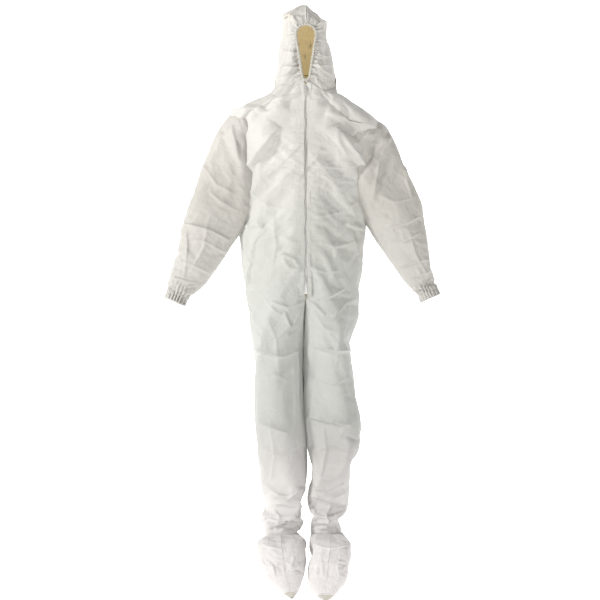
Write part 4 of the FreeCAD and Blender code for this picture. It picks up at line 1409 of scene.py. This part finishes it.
# ------------------------------------------------------------------ zip
@dataclass
class Zip:
    """The zip: two tapes, two coils, stops, a slider with its pull, and the folded lips."""

    palette: Palette
    plane: float = -0.095
    low: float = -0.676
    high: float = 0.026
    pitch: float = 0.0021

    def build(self) -> None:
        """Makes every part of the zip."""
        for side in Side:
            self.tape(side)
            self.coil(side)
            self.lip(side)
            self.stop(f"zip_top_stop_{side.word}", side.value * 0.0022, 0.0022, self.high - 0.004)
        self.stop("zip_bottom_stop", 0.0, 0.0070, self.low)
        self.slider()

    def tape(self, side: Side) -> None:
        """A woven tape behind the coil."""
        height = np.linspace(self.low, self.high, 220)
        path = np.stack(
            [np.full(220, side.value * 0.0094), np.full(220, self.plane + 0.0027), height], axis=1
        )
        self.band(f"zip_tape_{side.word}_weave", path, 0.017, 0.0006, self.palette.tape,
                  f"zip_tape_{side.word}", "zip_tape")

    def band(self, name: str, path: Array, wide: float, thick: float,
             finish: bpy.types.Material, node: str, slot: str) -> None:
        """A flat band along a path down the front."""
        count = len(path)
        across, outward = np.tile([1.0, 0.0, 0.0], (count, 1)), np.tile([0.0, -1.0, 0.0], (count, 1))
        half = np.array([[-wide, -thick], [wide, -thick], [wide, thick], [-wide, thick]]) / 2
        item = mesh_object(name, *sweep(path, across, outward, half))
        item.data.materials.append(finish)
        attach(item, "torso")
        finish_tape(node)

    def coil(self, side: Side) -> None:
        """A row of hooked teeth, each a short bar leaning into the middle."""
        low, high = self.low + 0.0045, self.high - 0.0045
        count = int((high - low) / self.pitch)
        rise = low + self.pitch * (np.arange(count) + (0.25 if side is Side.LEFT else 0.75))
        x = np.array([-0.0004, 0.0032, 0.0036])
        thick = np.array([0.0006, 0.00065, 0.0005])
        corners = np.array([(-1, -1), (1, -1), (1, 1), (-1, 1)])
        deep = 0.0009
        bars = np.empty((count, 3, 4, 3))
        bars[..., 0] = (x * side.value)[None, :, None]
        bars[..., 1] = self.plane + 0.0013 + deep * corners[None, None, :, 0]
        bars[..., 2] = rise[:, None, None] + (thick[:, None] * corners[:, 1][None, :])[None]
        ring = grid_faces(3, 4, True)
        caps = np.array([[3, 2, 1, 0], [8, 9, 10, 11]])
        one = np.vstack([ring, caps])
        faces = (one[None] + (np.arange(count) * 12)[:, None, None]).reshape(-1, 4)
        if side is Side.LEFT:
            faces = faces[:, ::-1]
        item = mesh_object(f"zip_chain_{side.word}_coil", bars.reshape(-1, 3), faces)
        item.data.materials.append(self.palette.coil)
        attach(item, "torso")
        finish_tape(f"zip_chain_{side.word}")

    def lip(self, side: Side) -> None:
        """The front panel's edge folded back beside the zip: a rounded, slightly wavy roll."""
        count = 300
        height = np.linspace(self.low - 0.006, 0.0315, count)
        low_part = ease(-height, 0.56, 0.66)
        body = 1.0 - 0.9 * ease(-height, 0.640, 0.676)
        sway = 0.0010 * np.sin(height * 61 + side.value) + 0.0007 * np.sin(height * 133)
        middle = 0.0098 + 0.004 * low_part + sway
        forth = np.full(count, self.plane - 0.0022 * body) + 0.5 * sway
        path = np.stack([side.value * middle, forth, height], axis=1)
        turn = np.linspace(0, 2 * np.pi, 16, endpoint=False)
        sine, cosine = squared(turn, 2.6)
        profile = np.stack([0.0072 * sine, 0.0012 * cosine], axis=1)
        across = np.tile([1.0, 0.0, 0.0], (count, 1))
        outward = np.tile([0.0, -1.0, 0.0], (count, 1))
        pinch = body * (1.0 + 0.22 * np.sin(height * 210 + 3 * np.sin(height * 40)))
        outward = outward * pinch[:, None]
        points, faces = sweep(path, across, outward, profile)
        cap = np.arange(8)
        ends = []
        for base, turned in ((0, False), ((count - 1) * 16, True)):
            quad = np.stack([cap[:-1], cap[1:], 15 - cap[1:], 15 - cap[:-1]], axis=-1) + base
            ends.append(quad[:, ::-1] if not turned else quad)
        item = mesh_object(
            f"placket_{side.word}_lip_fold", points, np.vstack([faces, *ends])
        )
        item.data.materials.append(self.palette.suit)
        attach(item, "torso")
        finish_tape(f"placket_{side.word}_lip")

    def stop(self, name: str, x: float, wide: float, low: float) -> None:
        """A small moulded stop at an end of the coil."""
        shape = np.array([(-1, 0), (1, 0), (1, 1), (-1, 1)]) * [wide / 2, 0.004] + [x, low]
        self.slab(name + "_lump", [shape], self.plane - 0.0003, self.plane + 0.0024, 0.0005,
                  self.palette.coil, "torso", name)

    def slab(self, name: str, outlines: list[Array], near: float, far: float, round_by: float,
             finish: bpy.types.Material, body: str, node: str) -> None:
        """Flat lumps with rounded edges: outlines seen from the front, between two depths."""
        points, faces, base = [], [], 0
        mesh = bpy.data.meshes.new(name)
        for outline in outlines:
            count = len(outline)
            for depth in (near, far):
                points += [(float(x), depth, float(z)) for x, z in outline]
            faces.append(list(range(base, base + count)))
            faces.append(list(range(base + 2 * count - 1, base + count - 1, -1)))
            for k in range(count):
                beside = (k + 1) % count
                faces.append([base + beside, base + k, base + count + k, base + count + beside])
            base += 2 * count
        mesh.from_pydata(points, [], faces)
        mesh.polygons.foreach_set("use_smooth", np.ones(len(mesh.polygons), bool))
        item = bpy.data.objects.new(name, mesh)
        bpy.context.scene.collection.objects.link(item)
        edge = item.modifiers.new("edge", "BEVEL")
        edge.width = round_by
        edge.segments = 3
        edge.limit_method = "ANGLE"
        item.data.materials.append(finish)
        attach(item, body)
        if node:
            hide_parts(node)

    def slider(self) -> None:
        """The slider's two shield-shaped plates, its bridge, and the pull with its hole."""
        low, high = 0.0045, 0.0215
        shield = np.array(
            [(-0.0028, low), (0.0028, low), (0.0040, 0.010), (0.0056, 0.0165), (0.0048, high),
             (0.0014, high), (0.0, high - 0.0015), (-0.0014, high), (-0.0048, high),
             (-0.0056, 0.0165), (-0.0040, 0.010)]
        )
        coat = self.palette.slider
        self.slab("zip_slider_front", [shield], self.plane - 0.0016, self.plane - 0.0002, 0.0005,
                  coat, "zip_slider", "zip_slider")
        self.slab("zip_slider_back", [shield], self.plane + 0.0034, self.plane + 0.0048, 0.0005,
                  coat, "zip_slider", None)
        post = np.array([(-0.0006, 0.013), (0.0006, 0.013), (0.0006, high - 0.002),
                         (-0.0006, high - 0.002)])
        self.slab("zip_slider_post", [post], self.plane - 0.0004, self.plane + 0.0036, 0.0002,
                  coat, "zip_slider", None)
        bridge = np.array([(-0.0012, 0.0070), (0.0012, 0.0070), (0.0012, 0.0185),
                           (-0.0012, 0.0185)])
        self.slab("zip_slider_bridge", [bridge], self.plane - 0.0052, self.plane - 0.0014, 0.0009,
                  coat, "zip_slider", None)
        turn = np.linspace(0, np.pi, 9)
        low_end, top = -0.0085, 0.0137
        tab = np.vstack(
            [
                np.stack([-0.0034 * np.cos(turn), low_end - 0.0030 * np.sin(turn)], axis=1),
                [(0.0030, 0.004), (0.0030, 0.0130), (0.0022, top + 0.0014),
                 (-0.0022, top + 0.0014), (-0.0030, 0.0130), (-0.0030, 0.004)],
            ]
        )
        self.slab("zip_pull_tab", [tab], self.plane - 0.0072, self.plane - 0.0060, 0.0004,
                  coat, "zip_pull", "zip_pull")
        grip = np.array([(-0.0018, low_end + 0.001), (0.0018, low_end + 0.001),
                         (0.0018, low_end + 0.009), (-0.0018, low_end + 0.009)])
        self.slab("zip_pull_grip", [grip], self.plane - 0.0078, self.plane - 0.0070, 0.0003,
                  coat, "zip_pull", None)


# ------------------------------------------------------------------ creases
def fold(height: float, width: float, *line: tuple[float, float], steep: int = 0,
         front: bool = True) -> Crease:
    """A crease by its height and width in millimetres and its line in metres."""
    return Crease(line, height / 1000.0, width / 1000.0, front, steep)


TRUNK_CREASES = [
    # from the neck over the right shoulder
    fold(9, 12, (-0.010, 0.000), (-0.060, -0.020), (-0.120, -0.047), steep=1),
    fold(7, 10, (-0.053, -0.040), (-0.090, -0.055), (-0.127, -0.064), steep=1),
    fold(6, 10, (-0.040, -0.015), (-0.120, -0.030), (-0.170, -0.060), steep=1),
    # the left shoulder's deep wedge
    fold(18, 28, (0.066, -0.070), (0.160, -0.098), (0.288, -0.130), steep=-1),
    fold(-8, 16, (0.090, -0.095), (0.180, -0.128), (0.280, -0.155)),
    fold(6, 9, (0.080, -0.077), (0.150, -0.110), (0.215, -0.150), steep=-1),
    # the two chest folds that make a V
    fold(21, 30, (-0.090, -0.115), (-0.145, -0.185), (-0.205, -0.262), steep=1),
    fold(7, 8, (-0.086, -0.120), (-0.096, -0.160), (-0.115, -0.215), steep=1),
    fold(24, 34, (0.092, -0.115), (0.165, -0.210), (0.243, -0.315), steep=-1),
    fold(7, 8, (0.095, -0.120), (0.108, -0.170), (0.140, -0.220), steep=-1),
    # the packing creases across the trunk
    fold(4, 5, (-0.200, -0.245), (-0.060, -0.250), (-0.020, -0.255), steep=-1),
    fold(4, 5, (0.020, -0.250), (0.130, -0.255), (0.190, -0.240), steep=-1),
    fold(8, 8, (-0.218, -0.447), (-0.150, -0.452), (-0.137, -0.440), steep=-1),
    fold(8, 8, (0.130, -0.440), (0.180, -0.455), (0.214, -0.462), steep=-1),
    fold(6, 6, (-0.205, -0.596), (-0.170, -0.602), (-0.147, -0.592), steep=-1),
    fold(6, 6, (0.013, -0.590), (0.070, -0.606), (0.114, -0.600), steep=-1),
    fold(9, 8, (-0.084, -0.546), (-0.040, -0.560), (-0.017, -0.596), steep=-1),
    fold(7, 7, (-0.017, -0.596), (-0.055, -0.590), (-0.084, -0.546)),
    # crossing ridges on the chest, a diamond crinkle
    fold(4, 5, (-0.104, -0.180), (-0.030, -0.240), (0.050, -0.300), steep=-1),
    fold(4, 5, (0.070, -0.170), (0.030, -0.230), (-0.050, -0.320), steep=1),
    fold(4, 5, (-0.100, -0.260), (-0.050, -0.210), (-0.010, -0.170), steep=-1),
    fold(4, 5, (0.100, -0.300), (0.060, -0.260), (0.010, -0.200), steep=1),
    fold(4, 5, (-0.090, -0.300), (-0.050, -0.270), (-0.015, -0.290), steep=-1),
    fold(4, 5, (0.012, -0.275), (0.050, -0.250), (0.095, -0.230), steep=-1),
    fold(4, 5, (-0.080, -0.210), (-0.045, -0.200), (-0.012, -0.215), steep=-1),
    fold(4, 5, (0.015, -0.215), (0.045, -0.195), (0.085, -0.205), steep=-1),
    fold(5, 9, (-0.190, -0.330), (-0.130, -0.380), (-0.040, -0.400), steep=-1),
    fold(5, 9, (0.180, -0.360), (0.120, -0.400), (0.030, -0.420), steep=-1),
    fold(5, 8, (-0.160, -0.500), (-0.090, -0.480), (-0.030, -0.510), steep=-1),
    fold(5, 8, (0.040, -0.500), (0.100, -0.520), (0.170, -0.500), steep=-1),
    fold(4, 6, (-0.110, -0.400), (-0.100, -0.520), (-0.120, -0.640)),
    fold(4, 6, (0.100, -0.380), (0.105, -0.500), (0.090, -0.640)),
    # crotch
    fold(8, 7, (0.0, -0.690), (0.035, -0.715), (0.067, -0.750), steep=1),
    fold(8, 7, (-0.070, -0.737), (-0.060, -0.765), (-0.050, -0.790), steep=1),
    fold(8, 8, (-0.005, -0.700), (-0.060, -0.720), (-0.120, -0.700), steep=-1),
    fold(8, 8, (0.005, -0.700), (0.070, -0.690), (0.130, -0.660), steep=-1),
    fold(6, 7, (-0.010, -0.720), (-0.040, -0.780), (-0.090, -0.820), steep=1),
    fold(6, 7, (0.020, -0.730), (0.060, -0.790), (0.110, -0.810), steep=-1),
    fold(5, 6, (-0.150, -0.680), (-0.100, -0.740), (-0.040, -0.760), steep=-1),
    fold(5, 6, (0.140, -0.700), (0.090, -0.760), (0.040, -0.770), steep=1),
    # thighs and knees
    fold(15, 12, (-0.174, -0.865), (-0.087, -0.888), (-0.027, -0.868), steep=-1),
    fold(15, 12, (0.010, -0.841), (0.064, -0.864), (0.154, -0.868), steep=-1),
    fold(5, 8, (-0.165, -0.960), (-0.110, -0.945), (-0.060, -0.970), steep=-1),
    fold(5, 8, (0.030, -0.960), (0.090, -0.980), (0.150, -0.955), steep=-1),
    fold(5, 8, (-0.130, -0.760), (-0.100, -0.830), (-0.090, -0.930)),
    fold(5, 8, (0.120, -0.760), (0.110, -0.840), (0.100, -0.930)),
    fold(6, 14, (-0.045, -0.860), (-0.040, -1.000), (-0.035, -1.120), steep=-1),
    # shins
    fold(15, 13, (-0.164, -1.105), (-0.104, -1.126), (-0.060, -1.146), steep=-1),
    fold(15, 13, (0.003, -1.089), (0.047, -1.099), (0.154, -1.119), steep=-1),
    fold(-9, 12, (0.120, -1.150), (0.150, -1.160), (0.180, -1.170)),
    fold(6, 8, (-0.150, -1.200), (-0.090, -1.215), (-0.030, -1.190), steep=-1),
    fold(6, 8, (0.020, -1.210), (0.080, -1.190), (0.145, -1.215), steep=-1),
    fold(6, 12, (-0.120, -1.130), (-0.105, -1.220), (-0.120, -1.310), steep=-1),
    fold(6, 12, (0.060, -1.120), (0.070, -1.200), (0.050, -1.300), steep=1),
    fold(6, 7, (0.150, -1.240), (0.100, -1.290), (0.030, -1.310), steep=1),
    # bunched ankles
    fold(11, 8, (-0.152, -1.310), (-0.100, -1.345), (-0.040, -1.350), steep=-1),
    fold(10, 8, (-0.012, -1.330), (-0.060, -1.372), (-0.142, -1.362), steep=1),
    fold(9, 7, (-0.140, -1.395), (-0.080, -1.386), (-0.015, -1.400), steep=-1),
    fold(12, 8, (-0.150, -1.430), (-0.090, -1.445), (-0.020, -1.425), steep=-1),
    fold(9, 7, (-0.140, -1.468), (-0.075, -1.455), (-0.020, -1.472), steep=-1),
    fold(8, 6, (-0.110, -1.400), (-0.085, -1.430), (-0.100, -1.470), steep=1),
    fold(12, 8, (0.010, -1.325), (0.070, -1.340), (0.130, -1.318), steep=-1),
    fold(11, 8, (0.012, -1.356), (0.070, -1.374), (0.134, -1.350), steep=-1),
    fold(10, 7, (0.015, -1.405), (0.070, -1.415), (0.128, -1.398), steep=-1),
    fold(10, 7, (0.128, -1.420), (0.075, -1.446), (0.020, -1.450), steep=1),
    fold(8, 6, (0.020, -1.472), (0.070, -1.464), (0.120, -1.474), steep=-1),
    fold(8, 6, (0.090, -1.380), (0.070, -1.420), (0.085, -1.465), steep=1),
    # the back
    fold(8, 14, (-0.180, -0.120), (-0.060, -0.160), (-0.010, -0.230), front=False),
    fold(8, 14, (0.180, -0.120), (0.060, -0.170), (0.010, -0.230), front=False),
    fold(7, 10, (-0.190, -0.450), (0.0, -0.470), (0.190, -0.450), front=False),
    fold(7, 10, (-0.160, -0.520), (0.0, -0.505), (0.160, -0.525), front=False),
    fold(9, 14, (-0.150, -0.640), (-0.080, -0.700), (-0.010, -0.690), front=False),
    fold(9, 14, (0.150, -0.640), (0.080, -0.700), (0.010, -0.690), front=False),
    fold(9, 12, (-0.160, -1.080), (-0.090, -1.110), (-0.020, -1.085), front=False),
    fold(9, 12, (0.160, -1.080), (0.090, -1.110), (0.020, -1.085), front=False),
]
SLEEVE_CREASES = [
    fold(11, 11, (-0.415, -0.436), (-0.315, -0.462), (-0.255, -0.496), steep=1),
    fold(7, 8, (-0.420, -0.480), (-0.340, -0.500), (-0.270, -0.540), steep=-1),
    fold(9, 11, (-0.330, -0.330), (-0.280, -0.370), (-0.225, -0.400), steep=-1),
    fold(8, 11, (-0.350, -0.240), (-0.300, -0.310), (-0.240, -0.340), steep=-1),
    fold(7, 8, (-0.440, -0.560), (-0.380, -0.580), (-0.320, -0.610), steep=-1),
    fold(10, 14, (-0.250, -0.110), (-0.235, -0.165), (-0.222, -0.230), steep=1),
    fold(7, 9, (-0.400, -0.460), (-0.400, -0.540), (-0.410, -0.620), steep=1),
    fold(6, 8, (-0.330, -0.420), (-0.345, -0.520), (-0.390, -0.600), steep=-1),
    fold(11, 11, (0.271, -0.449), (0.330, -0.440), (0.382, -0.415), steep=-1),
    fold(7, 8, (0.260, -0.490), (0.320, -0.500), (0.390, -0.470), steep=-1),
    fold(12, 16, (0.288, -0.137), (0.248, -0.228), (0.228, -0.362), steep=1),
    fold(8, 10, (0.240, -0.340), (0.300, -0.370), (0.370, -0.350), steep=-1),
    fold(7, 8, (0.300, -0.590), (0.360, -0.570), (0.420, -0.560), steep=-1),
    fold(7, 9, (0.330, -0.200), (0.340, -0.300), (0.370, -0.400), steep=-1),
    fold(6, 8, (0.350, -0.470), (0.370, -0.540), (0.410, -0.610), steep=1),
    fold(6, 7, (-0.360, -0.640), (-0.410, -0.630), (-0.450, -0.620), steep=-1),
    fold(6, 7, (0.350, -0.620), (0.390, -0.610), (0.425, -0.600), steep=-1),
]
FOOT_CREASES = [
    fold(7, 7, (-0.150, -1.515), (-0.080, -1.530), (-0.010, -1.512), steep=-1),
    fold(5, 6, (-0.140, -1.560), (-0.110, -1.580), (-0.100, -1.620), steep=1),
    fold(5, 6, (-0.070, -1.610), (-0.050, -1.580), (-0.040, -1.545), steep=1),
    fold(7, 7, (0.020, -1.512), (0.080, -1.528), (0.140, -1.516), steep=-1),
    fold(5, 6, (0.050, -1.620), (0.055, -1.580), (0.045, -1.540)),
    fold(5, 6, (0.110, -1.620), (0.105, -1.585), (0.115, -1.545), steep=1),
]
HOOD_CREASES = [
    fold(7, 8, (-0.078, 0.262), (-0.045, 0.255), (-0.028, 0.225), steep=-1),
    fold(7, 8, (0.070, 0.245), (0.045, 0.235), (0.030, 0.220), steep=1),
    fold(7, 7, (-0.075, 0.255), (-0.040, 0.275), (-0.005, 0.300), steep=-1),
    fold(6, 7, (-0.085, 0.150), (-0.060, 0.140), (-0.040, 0.130), steep=-1),
    fold(6, 7, (0.085, 0.130), (0.060, 0.120), (0.040, 0.125), steep=1),
    fold(7, 8, (-0.100, 0.040), (-0.060, 0.060), (-0.030, 0.100), steep=-1),
    fold(7, 8, (0.100, 0.050), (0.060, 0.070), (0.028, 0.100), steep=1),
    fold(6, 6, (-0.090, 0.090), (-0.060, 0.085), (-0.028, 0.080), steep=-1),
    fold(6, 6, (0.088, 0.095), (0.055, 0.088), (0.025, 0.072), steep=1),
    fold(5, 12, (-0.060, 0.200), (0.0, 0.170), (0.060, 0.190), front=False),
]


# ------------------------------------------------------------------ the whole suit
EYE_DISTANCE = 8.0
PICTURE_WIDE = 2.01
SENSOR_WIDE = 36.0
FLOOR = -1.76


def stage_and_light() -> None:
    """A pale floor, a pale room and soft studio lights, with the camera square to the front."""
    scene = bpy.context.scene
    scene.view_settings.view_transform = "Standard"
    eye = bpy.data.cameras.new("camera")
    eye.sensor_width = SENSOR_WIDE
    eye.lens = SENSOR_WIDE * EYE_DISTANCE / PICTURE_WIDE
    eye.clip_end = 100.0
    camera = bpy.data.objects.new("camera", eye)
    camera.location = (-0.020, -0.09 - EYE_DISTANCE, -0.697)
    camera.rotation_euler = (np.pi / 2, 0.0, 0.0)
    scene.collection.objects.link(camera)
    scene.camera = camera
    # the floor sweeps up into a wall behind, as a studio's paper does
    bend = np.linspace(0.0, np.pi / 2, 24)
    line = np.vstack(
        [[(-30.0, FLOOR)],
         np.stack([6 + 3 * np.sin(bend), FLOOR + 3 - 3 * np.cos(bend)], axis=1),
         [(9.0, 12.0)]]
    )
    sweep_points = np.array([[(x, y, z) for x in (-30.0, 30.0)] for y, z in line])
    faces = grid_faces(len(line), 2, False)[:, ::-1]
    floor = mesh_object("floor", sweep_points.reshape(-1, 3), faces)
    paper = bpy.data.materials.new("floor_paper")
    paper.use_nodes = True
    shader = paper.node_tree.nodes["Principled BSDF"]
    shader.inputs["Base Color"].default_value = (0.97, 0.97, 0.97, 1.0)
    shader.inputs["Roughness"].default_value = 0.9
    shader.inputs["Emission Color"].default_value = (1.0, 1.0, 1.0, 1.0)
    shader.inputs["Emission Strength"].default_value = 0.75
    floor.data.materials.append(paper)
    world = bpy.data.worlds.new("room")
    world.use_nodes = True
    world.node_tree.nodes["Background"].inputs["Color"].default_value = (1.0, 1.0, 1.0, 1.0)
    world.node_tree.nodes["Background"].inputs["Strength"].default_value = 0.46
    scene.world = world
    for name, place, aim, size, power in (
        ("key", (-4.9, -2.3, 2.4), (0.0, 0.0, -0.6), 0.9, 335.0),
        ("fill", (4.6, -3.0, 0.6), (0.0, 0.0, -0.8), 3.0, 40.0),
    ):
        lamp = bpy.data.lights.new(name, "AREA")
        lamp.size = size
        lamp.energy = power
        item = bpy.data.objects.new(name, lamp)
        item.location = place
        heading = np.array(aim) - np.array(place)
        item.rotation_euler = (
            float(np.arctan2(np.hypot(heading[0], heading[1]), -heading[2])),
            0.0,
            float(np.arctan2(heading[1], heading[0]) - np.pi / 2),
        )
        scene.collection.objects.link(item)


def main() -> None:
    """Builds the suit piece by piece around the frame."""
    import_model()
    stage_and_light()
    palette = Palette()
    trunk = Trunk(palette)
    cloth = trunk.sew()
    neck = cloth.points[trunk.lines["neck"]].copy()
    cloth.crumple(0.04, 14)
    cloth.refine()
    cloth.press(TRUNK_CREASES, 0.0017, 4, neck)
    trunk.dress()
    for side in Side:
        sleeve = Sleeve(side, palette)
        cloth = sleeve.build()
        cloth.crumple(0.035, 12)
        cloth.refine()
        sleeve.gather()
        cloth.press(SLEEVE_CREASES, 0.0024, 11 + side.value)
        sleeve.dress()
        bootie = Bootie(side, palette)
        cloth = bootie.build()
        cloth.crumple(0.05, 10)
        cloth.refine()
        cloth.press(FOOT_CREASES, 0.0018, 21 + side.value)
        bootie.dress()
    hood = Hood(palette, neck)
    cloth = hood.build()
    cloth.crumple(0.04, 10)
    cloth.refine()
    hood.gather()
    cloth.press(HOOD_CREASES, 0.0011, 31, neck)
    hood.dress()
    Zip(palette).build()


if __name__ == "__main__":
    main()
